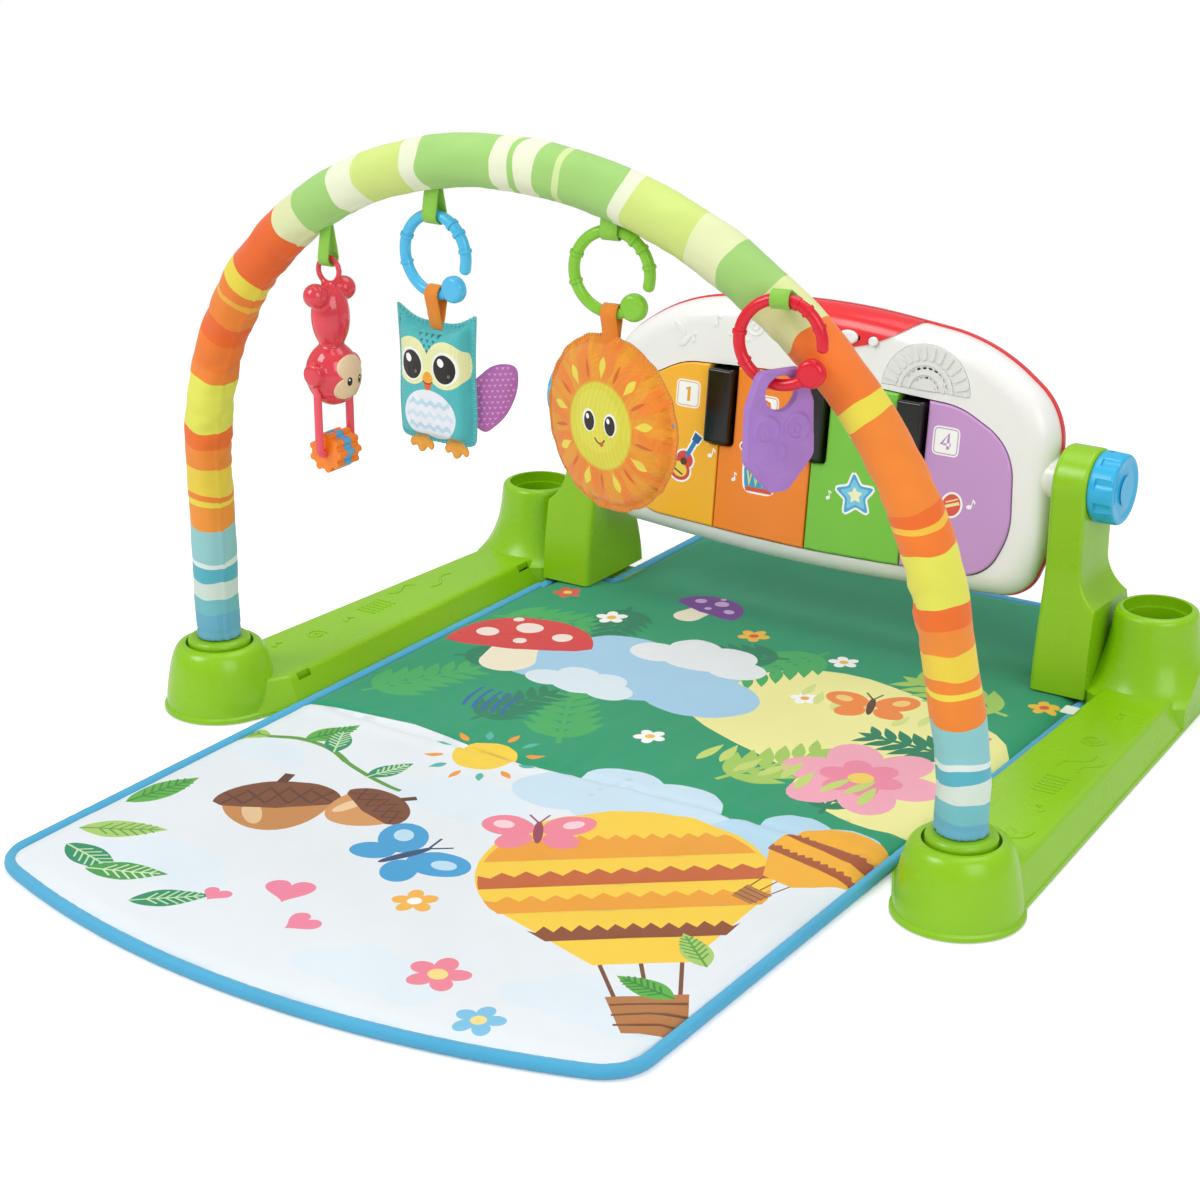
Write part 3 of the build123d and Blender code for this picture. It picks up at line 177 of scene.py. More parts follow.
def cloth(name, code=None, attribute=None, pitch=0.0008, rough=0.85, sheen=0.25, depth=0.00015,
          tone=0.04, useUv=False):
    # woven polyester: matt threads, a little sheen at the edges
    material, tree, shader = newMaterial(
        name, IOR=1.46, Roughness=rough, Sheen_Weight=sheen, Sheen_Roughness=0.5
    )
    texCoord = addNode(tree, "TexCoord", (-1100, 0))
    coords = texCoord.outputs["UV" if useUv else "Object"]
    if attribute:
        colour = addNode(tree, "VertexColor", (-700, 300), {"layer_name": attribute}).outputs[0]
    else:
        colour = hexToLinear(code)
    toned = shiftedColour(tree, colour, 14.0, tone, texCoord.outputs["Object"])
    height = weaveHeight(tree, coords, pitch)
    # painted shade: the weave's low places between threads are coloured darker, besides the bump
    weaveValleyShade = addNode(tree, "MapRange", (-200, -100), Value=height, To_Min=0.9, To_Max=1.03)
    shadedThreads = addNode(tree, "HueSaturation", (50, 200), Value=weaveValleyShade.outputs[0], Color=toned)
    tree.links.new(shadedThreads.outputs[0], shader.inputs["Base Color"])
    bump = addNode(tree, "Bump", (0, -400), Strength=0.5, Distance=depth, Height=height)
    tree.links.new(bump.outputs[0], shader.inputs["Normal"])
    return material

# finishes of the moulded pieces
railGreen = mouldedPlastic("railGreenPlastic", "#8EC70C", gloss=0.26)
postGreen = mouldedPlastic("postGreenPlastic", "#91C812", gloss=0.26)
# painted shade: the arch plugs are the same green plastic as the rails, coloured a little darker for the
# shade they stand in
shadedPlugGreen = mouldedPlastic("shadedPlugGreenPlastic", "#86BF0C", gloss=0.3)
shellWhite = mouldedPlastic("shellWhitePlastic", "#F0EFEC", gloss=0.2, tone=0.01)
controlRed = mouldedPlastic("controlRedPlastic", "#EA2F36", gloss=0.22)
rimRed = mouldedPlastic("rimRedPlastic", "#E0383C", gloss=0.3)
grilleWhite = mouldedPlastic("grilleWhitePlastic", "#E4E4E1", gloss=0.3, tone=0.01)
keyYellow = mouldedPlastic("keyYellowPlastic", "#FBB62C", gloss=0.18)
keyOrange = mouldedPlastic("keyOrangePlastic", "#F7861B", gloss=0.18)
keyGreen = mouldedPlastic("keyGreenPlastic", "#79C53B", gloss=0.18)
keyLilac = mouldedPlastic("keyLilacPlastic", "#C896CF", gloss=0.18)
keyBlack = mouldedPlastic("keyBlackPlastic", "#0F0E0B", gloss=0.08, tone=0.0)
knobBlue = mouldedPlastic("knobBluePlastic", "#2FB4E6", gloss=0.22)
tubeWhite = mouldedPlastic("tubeWhitePlastic", "#E4E4E0", gloss=0.35)
ringBlue = mouldedPlastic("ringBluePlastic", "#4DBCE8", gloss=0.25)
ringGreen = mouldedPlastic("ringGreenPlastic", "#85C832", gloss=0.25)
ringRed = mouldedPlastic("ringRedPlastic", "#E0132B", gloss=0.22)
rattleRed = mouldedPlastic("rattleRedPlastic", "#E8293F", gloss=0.12, Subsurface_Weight=0.15,
                           Subsurface_Radius=(0.01, 0.003, 0.003), Subsurface_Scale=0.4)
faceTan = mouldedPlastic("faceTanPlastic", "#E6CCA2", gloss=0.35)
beadOrange = mouldedPlastic("beadOrangePlastic", "#F9861A", gloss=0.25)
beadBlue = mouldedPlastic("beadBluePlastic", "#5FA9D2", gloss=0.25)
boardGreen = mouldedPlastic("boardGreenLacquer", "#2E6B45", gloss=0.4)
contactRubber = mouldedPlastic("contactRubber", "#C9C9C4", gloss=0.6)
padRubber = mouldedPlastic("padRubber", "#5E6166", gloss=0.7)
speakerGrey = mouldedPlastic("speakerGrey", "#3A3A3C", gloss=0.5)
cellGrey = mouldedPlastic("cellSleeve", "#3A3D42", gloss=0.3)


def screwSteel(name):
    # zinc plated steel, finely scratched
    material, tree, shader = newMaterial(name, Metallic=1.0, Base_Color=hexToLinear("#C3C6CA"))
    coords = addNode(tree, "TexCoord", (-900, 0)).outputs["Object"]
    marks = addNode(tree, "TexNoise", (-500, 0), Vector=coords, Scale=900.0, Detail=4.0)
    rough = addNode(tree, "MapRange", (-250, 0), Value=marks.outputs[0], To_Min=0.22, To_Max=0.45)
    tree.links.new(rough.outputs[0], shader.inputs["Roughness"])
    return material


steel = screwSteel("zincSteel")

nodeFinish = {
    railGreen: ("right_rail", "left_rail"),
    postGreen: ("right_post", "left_post", "rear_crossbar"),
    shadedPlugGreen: ("right_arch_plug", "left_arch_plug"),
    padRubber: ("rail_feet",),
    steel: ("base_screws", "housing_screws", "key_rod"),
    shellWhite: ("front_housing", "right_pivot_hub", "left_pivot_hub", "mode_slider", "mode_button"),
    controlRed: ("control_cover",),
    rimRed: ("rear_housing", "battery_door"),
    grilleWhite: ("speaker_grille",),
    keyYellow: ("key_1",),
    keyOrange: ("key_2",),
    keyGreen: ("key_3",),
    keyLilac: ("key_4",),
    keyBlack: ("black_key_1", "black_key_2", "black_key_3"),
    knobBlue: ("right_knob", "left_knob"),
    tubeWhite: ("right_arch_tube", "left_arch_tube", "arch_joiner"),
    ringBlue: ("ring_blue",),
    ringGreen: ("ring_green",),
    ringRed: ("ring_red",),
    rattleRed: ("rattle_body", "rattle_arm_loop"),
    faceTan: ("rattle_face",),
    beadOrange: ("rattle_bead_1", "rattle_bead_3"),
    beadBlue: ("rattle_bead_2",),
    boardGreen: ("circuit_board",),
    contactRubber: ("key_domes",),
    speakerGrey: ("speaker",),
    cellGrey: ("batteries",),
}
for finish, names in nodeFinish.items():
    for name in names:
        for materialSlot in nodes[name].material_slots:
            materialSlot.material = finish
print("moulded pieces finished")

# printed padded mat
matShape = {
    "halfWidth": 248.0,  # inside the binding, millimetres
    "frontCorner": -297.0,
    "frontSag": 41.0,
    "cornerRadius": 26.0,
    "rear": 529.0,
    "stepHalf": 245.0,  # steps in beside the rails
    "stepY": 337.0,
    "notchHalf": 199.0,  # and again under the posts
    "notchY": 379.0,
    "thickness": 12.0,
    "grid": 5.0,
    "foldY": 22.0,  # the mat folds here
    "printColour": "matPrint",
}


def arcPoints(centre, radius, start, end, count):
    return [
        (
            centre[0] + radius * math.cos(math.radians(start + (end - start) * i / count)),
            centre[1] + radius * math.sin(math.radians(start + (end - start) * i / count)),
        )
        for i in range(count + 1)
    ]


def matOutline(shape, inset=0.0):
    half = shape["halfWidth"] - inset
    corner = shape["frontCorner"] + inset
    sag = shape["frontSag"]
    bowRadius = (half**2 + sag**2) / (2 * sag)
    bowCentre = (0, corner - sag + bowRadius)
    cut = math.degrees(math.asin((half - shape["cornerRadius"] * 0.75) / bowRadius))
    front = arcPoints(bowCentre, bowRadius, -90 - cut, -90 + cut, 48)
    radius = shape["cornerRadius"]
    rightCorner = arcPoints((half - radius, front[-1][1] + radius * 0.98), radius, -72, 0, 8)
    leftCorner = [(-x, y) for x, y in reversed(rightCorner)]
    rear, notchHalf, notchY = shape["rear"] - inset, shape["notchHalf"] - inset, shape["notchY"] - inset
    stepHalf, stepY = shape["stepHalf"] - inset, shape["stepY"] - inset
    side = [(half, stepY), (stepHalf, stepY), (stepHalf, notchY), (notchHalf, notchY), (notchHalf, rear)]
    back = [(-x, y) for x, y in reversed(side)]
    return leftCorner[:-1] + front + rightCorner[1:] + side + back


def blob(cx, cy, rx, ry, turn=0, wobble=0.0, lobes=3, count=40):
    points = []
    for i in range(count):
        a = 2 * math.pi * i / count
        r = 1 + wobble * math.sin(lobes * a + cx * 0.1)
        x, y = rx * r * math.cos(a), ry * r * math.sin(a)
        c, s = math.cos(math.radians(turn)), math.sin(math.radians(turn))
        points.append((cx + x * c - y * s, cy + x * s + y * c))
    return points


def leaf(cx, cy, length, width, turn, count=14):
    # from its stalk at cx, cy
    c, s = math.cos(math.radians(turn)), math.sin(math.radians(turn))
    upper = [(length * i / count, width / 2 * math.sin(math.pi * (i / count) ** 0.8))
             for i in range(count + 1)]
    ring = upper + [(x, -y) for x, y in reversed(upper[1:-1])]
    return [(cx + x * c - y * s, cy + x * s + y * c) for x, y in ring]


def stroke(points, width):
    # a drawn line of one width through points
    left, right = [], []
    for i, (x, y) in enumerate(points):
        before, after = points[max(i - 1, 0)], points[min(i + 1, len(points) - 1)]
        dx, dy = after[0] - before[0], after[1] - before[1]
        size = math.hypot(dx, dy) or 1
        left.append((x - dy / size * width / 2, y + dx / size * width / 2))
        right.append((x + dy / size * width / 2, y - dx / size * width / 2))
    return left + right[::-1]


def curve(start, mid, end, count=12):
    return [
        (
            (1 - t) ** 2 * start[0] + 2 * t * (1 - t) * mid[0] + t * t * end[0],
            (1 - t) ** 2 * start[1] + 2 * t * (1 - t) * mid[1] + t * t * end[1],
        )
        for t in (i / count for i in range(count + 1))
    ]


prints = []  # (outline, colour), later ones lie on top


def draw(outline, colour):
    prints.append((outline, colour))


def drawLeaf(x, y, length, width, turn, colour, veinColour, striped=True):
    draw(leaf(x, y, length, width, turn), colour)
    c, s = math.cos(math.radians(turn)), math.sin(math.radians(turn))
    draw(stroke([(x, y), (x + length * 0.9 * c, y + length * 0.9 * s)], 1.6), veinColour)
    for i in range(2, 8) if striped else ():
        along = length * i / 9
        reach = width * 0.4 * math.sin(math.pi * (i / 9) ** 0.8)
        for side in (-1, 1):
            root = (x + along * c, y + along * s)
            tip = (
                x + (along + reach * 0.9) * c - side * reach * s,
                y + (along + reach * 0.9) * s + side * reach * c,
            )
            draw(stroke([root, tip], 1.5), veinColour)


def drawFrond(x, y, length, turn, colour, fingers=6):
    # palm frond: pairs of narrow leaflets on one rib
    c, s = math.cos(math.radians(turn)), math.sin(math.radians(turn))
    draw(stroke([(x, y), (x + length * c, y + length * s)], 4.0), colour)
    for i in range(fingers):
        along = length * (0.12 + 0.8 * i / (fingers - 1))
        size = length * 0.46 * (1 - 0.45 * i / fingers)
        for side in (-1, 1):
            draw(leaf(x + along * c, y + along * s, size, size * 0.34, turn + side * 48), colour)
    draw(leaf(x + length * 0.85 * c, y + length * 0.85 * s, length * 0.3, length * 0.12, turn), colour)


def drawFlower(x, y, radius, petals, colour, heart):
    for i in range(petals):
        a = 2 * math.pi * i / petals + x
        draw(blob(x + radius * 0.62 * math.cos(a), y + radius * 0.62 * math.sin(a),
                  radius * 0.44, radius * 0.36, math.degrees(a), count=18), colour)
    draw(blob(x, y, radius * 0.32, radius * 0.32, count=18), heart)


def drawCloud(x, y, size, colour):
    for dx, dy, r in ((0, 0, 0.5), (-0.55, -0.1, 0.36), (0.55, -0.08, 0.38), (-0.22, 0.26, 0.34),
                      (0.28, 0.22, 0.36)):
        draw(blob(x + dx * size, y + dy * size, r * size, r * size * 0.8, count=36), colour)


def drawHeart(x, y, size, turn, colour):
    points = []
    for i in range(36):
        a = 2 * math.pi * i / 36
        px = 16 * math.sin(a) ** 3 / 16 * size
        py = (13 * math.cos(a) - 5 * math.cos(2 * a) - 2 * math.cos(3 * a) - math.cos(4 * a)) / 16 * size
        c, s = math.cos(math.radians(turn)), math.sin(math.radians(turn))
        points.append((x + px * c - py * s, y + px * s + py * c))
    draw(points, colour)


def drawToadstool(x, y, size, turn, capColour, dotColour, stemColour, gillColour):
    c, s = math.cos(math.radians(turn)), math.sin(math.radians(turn))

    def at(px, py):
        return (x + (px * c - py * s) * size, y + (px * s + py * c) * size)

    draw([at(*p) for p in arcPoints((0, -0.25), 0.24, 180, 360, 12) + [(0.16, 0.3), (-0.16, 0.3)]],
         stemColour)
    draw([at(px, py * 0.45 + 0.18) for px, py in blob(0, 0, 0.62, 0.34)], gillColour)
    cap = arcPoints((0, 0.14), 0.64, 0, 180, 22)
    draw([at(px, 0.14 + (py - 0.14) * 0.95) for px, py in cap] + [at(-0.5, 0.06), at(0, 0.0), at(0.5, 0.06)],
         capColour)
    for px, py, r in ((-0.32, 0.36, 0.1), (0.02, 0.5, 0.12), (0.34, 0.34, 0.09), (0.0, 0.2, 0.06),
                      (-0.12, 0.68, 0.05)):
        draw([at(a, b) for a, b in blob(px, py, r, r, count=16)], dotColour)


def drawAcorn(x, y, size, turn, nutColour, shineColour, capColour, capLine):
    c, s = math.cos(math.radians(turn)), math.sin(math.radians(turn))

    def at(px, py):
        return (x + (px * c - py * s) * size, y + (px * s + py * c) * size)

    nut = [(0.5 * math.cos(a) * (1 - 0.12 * math.sin(a) ** 2), -0.66 * math.sin(a)) for a in
           (math.pi * i / 20 for i in range(21))]
    draw([at(px, py) for px, py in nut], nutColour)
    draw([at(px, py) for px, py in blob(-0.2, -0.28, 0.09, 0.24, 12, count=18)], shineColour)
    cap = arcPoints((0, -0.06), 0.58, 0, 180, 20)
    draw([at(px, -0.06 + (py + 0.06) * 0.72) for px, py in cap]
         + [at(-0.5, -0.14), at(0, -0.2), at(0.5, -0.14)],
         capColour)
    for i in range(-2, 3):
        draw(stroke([at(i * 0.2 - 0.1, -0.1), at(i * 0.2 + 0.1, 0.24 - abs(i) * 0.05)], size * 0.028),
             capLine)
        draw(stroke([at(i * 0.2 + 0.1, -0.1), at(i * 0.2 - 0.1, 0.24 - abs(i) * 0.05)], size * 0.028),
             capLine)
    draw(stroke([at(0, 0.34), at(0.06, 0.52)], size * 0.1), capLine)


def drawButterfly(x, y, size, turn, wingColour, spotColour, bodyColour):
    c, s = math.cos(math.radians(turn)), math.sin(math.radians(turn))

    def at(px, py):
        return (x + (px * c - py * s) * size, y + (px * s + py * c) * size)

    for side in (-1, 1):
        draw([at(px, py) for px, py in blob(side * 0.42, 0.2, 0.4, 0.3, side * 32, count=26)], wingColour)
        draw([at(px, py) for px, py in blob(side * 0.32, -0.26, 0.28, 0.22, side * -38, count=22)],
             wingColour)
        draw([at(px, py) for px, py in blob(side * 0.48, 0.24, 0.16, 0.12, side * 32, count=16)], spotColour)
        draw(stroke([at(0, 0.3), at(side * 0.14, 0.56)], size * 0.035), bodyColour)
    draw([at(px, py) for px, py in blob(0, 0, 0.07, 0.36, count=20)], bodyColour)


def drawBalloon(x, y, size, turn, skin, bands, ropeColour, basketColour):
    c, s = math.cos(math.radians(turn)), math.sin(math.radians(turn))

    def at(px, py):
        return (x + (px * c - py * s) * size, y + (px * s + py * c) * size)

    def skinWidth(py):
        return (0.5 * math.sqrt(max(0.0, 1 - ((py - 0.12) / 0.5) ** 2)) if py > -0.05
                else 0.475 - (-0.05 - py) * 0.72)

    heights = [-0.5 + 1.12 * i / 40 for i in range(41)]
    edge = [(skinWidth(h), h) for h in heights]
    draw([at(px, py) for px, py in edge + [(-a, b) for a, b in reversed(edge[:-1])]], skin)
    for low, high, colour in bands:
        rows = [low + (high - low) * i / 6 for i in range(7)]
        right = [(skinWidth(h - 0.02), h - 0.05 * (1 - 0)) for h in rows]
        ring = [(a * 0.985, b) for a, b in right] + [(-a * 0.985, b) for a, b in reversed(right)]
        wavy = []
        for i in range(25):
            px = 0.985 * skinWidth(high - 0.02) * (1 - 2 * i / 24)
            wavy.append((px, high - 0.05 + 0.02 * math.cos(i * math.pi)))
        draw([at(px, py) for px, py in ring[:7] + wavy[1:-1] + ring[7:]], colour)
    for side in (-1, 0, 1):
        draw(stroke([at(side * 0.13, -0.5), at(side * 0.1, -0.72)], size * 0.014), ropeColour)
    draw([at(-0.13, -0.7), at(0.13, -0.7), at(0.1, -0.92), at(-0.1, -0.92)], basketColour)
    for i in range(3):
        draw(stroke([at(-0.12, -0.75 - i * 0.06), at(0.12, -0.75 - i * 0.06)], size * 0.012), ropeColour)


meadow, deepMeadow, freshLeaf, paleLeaf = "#159A6C", "#0E805A", "#3FAE5E", "#A6CE5E"
clearing, skyBlue, paleSky, cream = "#F4F0A0", "#A5D2EF", "#DFEFF8", "#E9F0F5"

# upper half: meadow and clearing
draw([(-260, 22), (-150, 30), (-40, 14), (60, 26), (160, 12), (260, 22), (260, 545), (-260, 545)], meadow)
draw(blob(120, 205, 130, 88, -10, 0.05, 4), clearing)
draw(blob(230, 110, 90, 50, 5, 0.04, 5), clearing)
for x, y, turn in ((-225, 60, 62), (-235, 250, 20), (-40, 60, 118), (90, 70, 64), (215, 290, 165),
                   (40, 330, 250)):
    drawFrond(x, y, 92, turn, freshLeaf if x < 60 else paleLeaf)
for x, y, turn in ((-120, 60, 75), (-210, 160, 30), (180, 60, 100), (20, 300, 200), (-150, 330, 290),
                   (225, 200, 180)):
    drawFrond(x, y, 78, turn, deepMeadow)
drawCloud(-70, 205, 128, skyBlue)
drawCloud(-40, 262, 66, cream)
drawCloud(-92, 168, 52, paleSky)
for i in range(5):
    draw(stroke(curve((-150 + i * 9, 118), (-150 + i * 9, 96), (-142 + i * 9, 80)), 3), "#2E62A8")
drawToadstool(-176, 196, 96, 22, "#DB3B3E", "#F7E7DF", "#F6EDD3", "#E9C9A8")
drawToadstool(-96, 352, 52, -14, "#7A3E9D", "#D9BDE8", "#F6EDD3", "#E1D0EA")
drawFlower(176, 128, 58, 6, "#F6A9BD", "#FBE3E6")
drawFlower(176, 128, 30, 6, "#F28AA6", "#F9D55B")
for x, y, size, petal, heart in ((-150, 300, 13, "#FFFFFF", "#F6C33C"), (-30, 330, 13, "#F7C23A", "#E5562F"),
                                 (60, 318, 12, "#FFFFFF", "#F6C33C"), (-215, 330, 12, "#E8584B", "#F7D65A"),
                                 (232, 320, 12, "#F7C23A", "#E5562F"), (70, 236, 11, "#FFFFFF", "#F6A63C"),
                                 (214, 238, 11, "#F28AA6", "#FBE3E6"), (10, 108, 12, "#FFFFFF", "#F6C33C")):
    drawFlower(x, y, size, 5, petal, heart)
for i in range(9):
    x = 60 + i * 17
    draw(leaf(x, 92 + 6 * math.sin(i * 2.1), 34, 9, 84 + 14 * math.sin(i * 1.7)), "#C5DB72")
    draw(leaf(x + 6, 232 + 8 * math.cos(i * 1.9), 26, 8, 96 + 12 * math.sin(i)), "#D9E58B")
drawButterfly(120, 250, 46, 20, "#F58A3C", "#FBD07A", "#5B3A29")

# lower half: open sky with things drifting in it
for x, y, size in ((-40, -60, 70), (190, -250, 60), (-150, -250, 64), (60, -290, 58), (-210, -70, 40)):
    drawCloud(x, y, size, "#E3F0F8")
drawCloud(60, 0, 96, "#CBE5F5")
drawCloud(196, 8, 78, "#B9DDF2")
drawBalloon(132, -112, 196, 38, "#FBD23E",
            ((0.3, 0.46, "#F2A32B"), (0.1, 0.2, "#C9632C"), (-0.08, 0.02, "#F2A32B"),
             (-0.28, -0.2, "#8E4A26")),
            "#7A4A2A", "#B87942")
drawBalloon(216, -6, 84, -12, "#F7B32E", ((0.2, 0.34, "#A9542B"), (-0.06, 0.04, "#A9542B")),
            "#7A4A2A", "#B87942")
drawAcorn(-150, -128, 78, 34, "#C98A4B", "#E9C294", "#7B4526", "#5E321C")
drawAcorn(-84, -100, 58, -24, "#D89A5A", "#F0CDA2", "#7B4526", "#5E321C")
draw(stroke(curve((-246, -60), (-200, -20), (-150, -52), 14), 5), "#5D9E3A")
draw(stroke(curve((-150, -52), (-110, -70), (-86, -70), 10), 4), "#5D9E3A")
for x, y, length, width, turn, colour, vein in (
    (-200, -38, 46, 22, 66, "#5DB23F", "#2F8A3A"), (-168, -44, 42, 20, 118, "#1E8F63", "#BFE3B0"),
    (-226, -46, 44, 20, 190, "#9FCB5A", "#4E9A3A"), (-120, -66, 40, 18, 70, "#1E8F63", "#BFE3B0"),
    (-236, -190, 60, 26, 74, "#5DB23F", "#2F8A3A"), (-232, -240, 62, 26, 30, "#A9D06A", "#5CA33E"),
    (-222, -262, 60, 24, -12, "#1E8F63", "#BFE3B0"), (-186, -282, 58, 24, 24, "#3F9E4B", "#CFE8B8"),
    (-130, -300, 54, 24, 40, "#1E8F63", "#BFE3B0"), (228, -170, 46, 20, 140, "#A9D06A", "#5CA33E"),
    (232, -214, 44, 20, 175, "#5DB23F", "#2F8A3A")):
    drawLeaf(x, y, length, width, turn, colour, vein)
draw(blob(-72, 12, 24, 24, count=28), "#F8D33E")
for i in range(12):
    a = math.radians(30 * i)
    draw(leaf(-72 + 30 * math.cos(a), 12 + 30 * math.sin(a), 15, 6, 30 * i),
         "#F49A2E" if i % 2 else "#4FB8A8")
drawButterfly(-20, -150, 58, -24, "#3FA2DA", "#BFE3F5", "#2A4E78")
drawButterfly(34, -72, 50, 32, "#F2869C", "#FBD5DC", "#9A3F5A")
for x, y, size, turn in ((-52, -232, 17, 24), (-16, -262, 13, -18), (-88, -262, 10, 6)):
    drawHeart(x, y, size, turn, "#F286A2")
drawFlower(96, -268, 20, 5, "#F2869C", "#FBE08A")
drawFlower(150, -300, 16, 5, "#7CC4E8", "#FBE08A")
drawFlower(26, -200, 15, 5, "#F8B84A", "#FFFFFF")


def insidePolygon(points, outline):
    x, y = points[:, 0], points[:, 1]
    inside = np.zeros(len(points), bool)
    ring = np.array(outline)
    for (ax, ay), (bx, by) in zip(ring, np.roll(ring, -1, axis=0)):
        if ay == by:
            continue
        crosses = ((ay > y) != (by > y)) & (x < (bx - ax) * (y - ay) / (by - ay) + ax)
        inside ^= crosses
    return inside


def edgeDistance(points, outline):
    ring = np.array(outline)
    best = np.full(len(points), 1e9)
    for a, b in zip(ring, np.roll(ring, -1, axis=0)):
        d = b - a
        t = np.clip(((points - a) @ d) / max(d @ d, 1e-9), 0, 1)
        best = np.minimum(best, np.linalg.norm(points - (a + t[:, None] * d), axis=1))
    return best


def wrinkleHeight(x, y, shape, reach):
    # soft puffs between stitched lines, the fold across, and creases that run from it
    puff = (0.55 * noise.noise(Vector((x / 60, y / 60, 1.7)))
            + 0.35 * noise.noise(Vector((x / 24, y / 30, 5.1))))
    crease = 0.5 * noise.noise(Vector((x / 15 + y / 60, y / 110, 9.2)))
    fold = y - shape["foldY"] - 4 * math.sin(x / 70)
    dip = -2.6 * math.exp(-((fold / 3.2) ** 2)) + 1.2 * math.exp(-(((fold + 9) / 6) ** 2))
    ripple = 0.9 * math.exp(-((fold / 46) ** 2)) * noise.noise(Vector((x / 9, y / 34, 3.3)))
    pull = 0.9 * math.exp(-reach / 10) * noise.noise(Vector((x / 5.5, y / 5.5, 4.7)))
    sweep = 0.5 * noise.noise(Vector(((x + y) / 28, (x - y) / 150, 6.3)))
    return 1.3 * puff + crease * 0.8 + dip + 1.3 * ripple + pull + sweep


def printedMat(shape, outlines):
    outline = matOutline(shape)
    box = np.array(outline)
    step = shape["grid"]
    xs = np.arange(box[:, 0].min() + step / 2, box[:, 0].max(), step)
    ys = np.arange(box[:, 1].min() + step / 2, box[:, 1].max(), step)
    grid = np.array([(x + (step / 2 if k % 2 else 0), y) for k, y in enumerate(ys) for x in xs])
    grid = grid[insidePolygon(grid, outline)]
    grid = grid[edgeDistance(grid, outline) > step * 0.4]
    points = [Vector(p) for p in outline]
    edges = [(i, (i + 1) % len(outline)) for i in range(len(outline))]
    for ring, _ in outlines:
        start = len(points)
        points += [Vector(p) for p in ring]
        edges += [(start + i, start + (i + 1) % len(ring)) for i in range(len(ring))]
    points += [Vector(p) for p in grid]
    verts, _, faces, *_ = delaunay_2d_cdt(points, edges, [], 0, 1e-3)
    flat = np.array([v[:] for v in verts])
    tris = np.array([f for f in faces if len(f) == 3])
    middle = flat[tris].mean(axis=1)
    keep = insidePolygon(middle, outline)
    tris, middle = tris[keep], middle[keep]
    colours = np.tile(np.array(hexToLinear(cream)), (len(tris), 1))
    for ring, colour in outlines:
        low, high = np.min(ring, axis=0), np.max(ring, axis=0)
        near = np.all((middle >= low) & (middle <= high), axis=1)
        index = np.nonzero(near)[0]
        hit = index[insidePolygon(middle[index], ring)]
        colours[hit] = hexToLinear(colour)
    used = np.unique(tris)
    renumber = {int(v): i for i, v in enumerate(used)}
    flat = flat[used]
    near = edgeDistance(flat, outline)
    top = []
    for (x, y), d in zip(flat, near):
        edge = min(1.0, d / 14)
        z = (shape["thickness"] - 4.4 * (1 - edge) ** 2
             + wrinkleHeight(x, y, shape, d) * (0.35 + 0.65 * edge) - 0.8)
        if y > 330 and abs(x) > 188:
            z = min(z, 12.2)  # the posts stand over it here
        top.append((x * mm, y * mm, max(z, 6.0) * mm))
    mesh = bpy.data.meshes.new("printedMat")
    triangles = [tuple(renumber[int(v)] for v in t) for t in tris]
    # the rim joins the printed top to a plain underside
    first = len(top)
    boundary = {}
    for t in triangles:
        for a, b in zip(t, t[1:] + t[:1]):
            boundary[(a, b)] = boundary.get((a, b), 0) + 1
    rim = [(a, b) for a, b in boundary if (b, a) not in boundary]
    rimVerts = sorted({a for e in rim for a in e})
    low = {v: first + i for i, v in enumerate(rimVerts)}
    bottom = [(top[v][0], top[v][1], 0.4 * mm) for v in rimVerts]
    sides = [(b, a, low[a], low[b]) for a, b in rim]
    mesh.from_pydata(top + bottom, [], triangles + sides)
    mesh.update()
    bm = bmesh.new()
    bm.from_mesh(mesh)
    openEdges = [e for e in bm.edges if e.is_boundary]
    bmesh.ops.contextual_create(bm, geom=openEdges)
    bmesh.ops.triangulate(bm, faces=[f for f in bm.faces if len(f.verts) > 4])
    bmesh.ops.recalc_face_normals(bm, faces=bm.faces)
    bm.to_mesh(mesh)
    bm.free()
    paint = mesh.color_attributes.new(shape["printColour"], "FLOAT_COLOR", "CORNER")
    values = np.tile(np.array(hexToLinear(cream)), (len(mesh.loops), 1))
    values[: len(triangles) * 3] = np.repeat(colours, 3, axis=0)
    paint.data.foreach_set("color", values.astype(np.float32).ravel())
    mesh.polygons.foreach_set("use_smooth", [True] * len(mesh.polygons))
    piece = bpy.data.objects.new("printedMat", mesh)
    bpy.context.collection.objects.link(piece)
    return piece


matPiece = printedMat(matShape, prints)
matPiece.data.materials.append(cloth("printedMatCloth", attribute=matShape["printColour"], pitch=0.0011,
                                     rough=0.75, sheen=0.15, tone=0.015))
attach(matPiece, "base")
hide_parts("mat")
print("mat printed,", len(prints), "motifs,", len(matPiece.data.polygons), "faces")

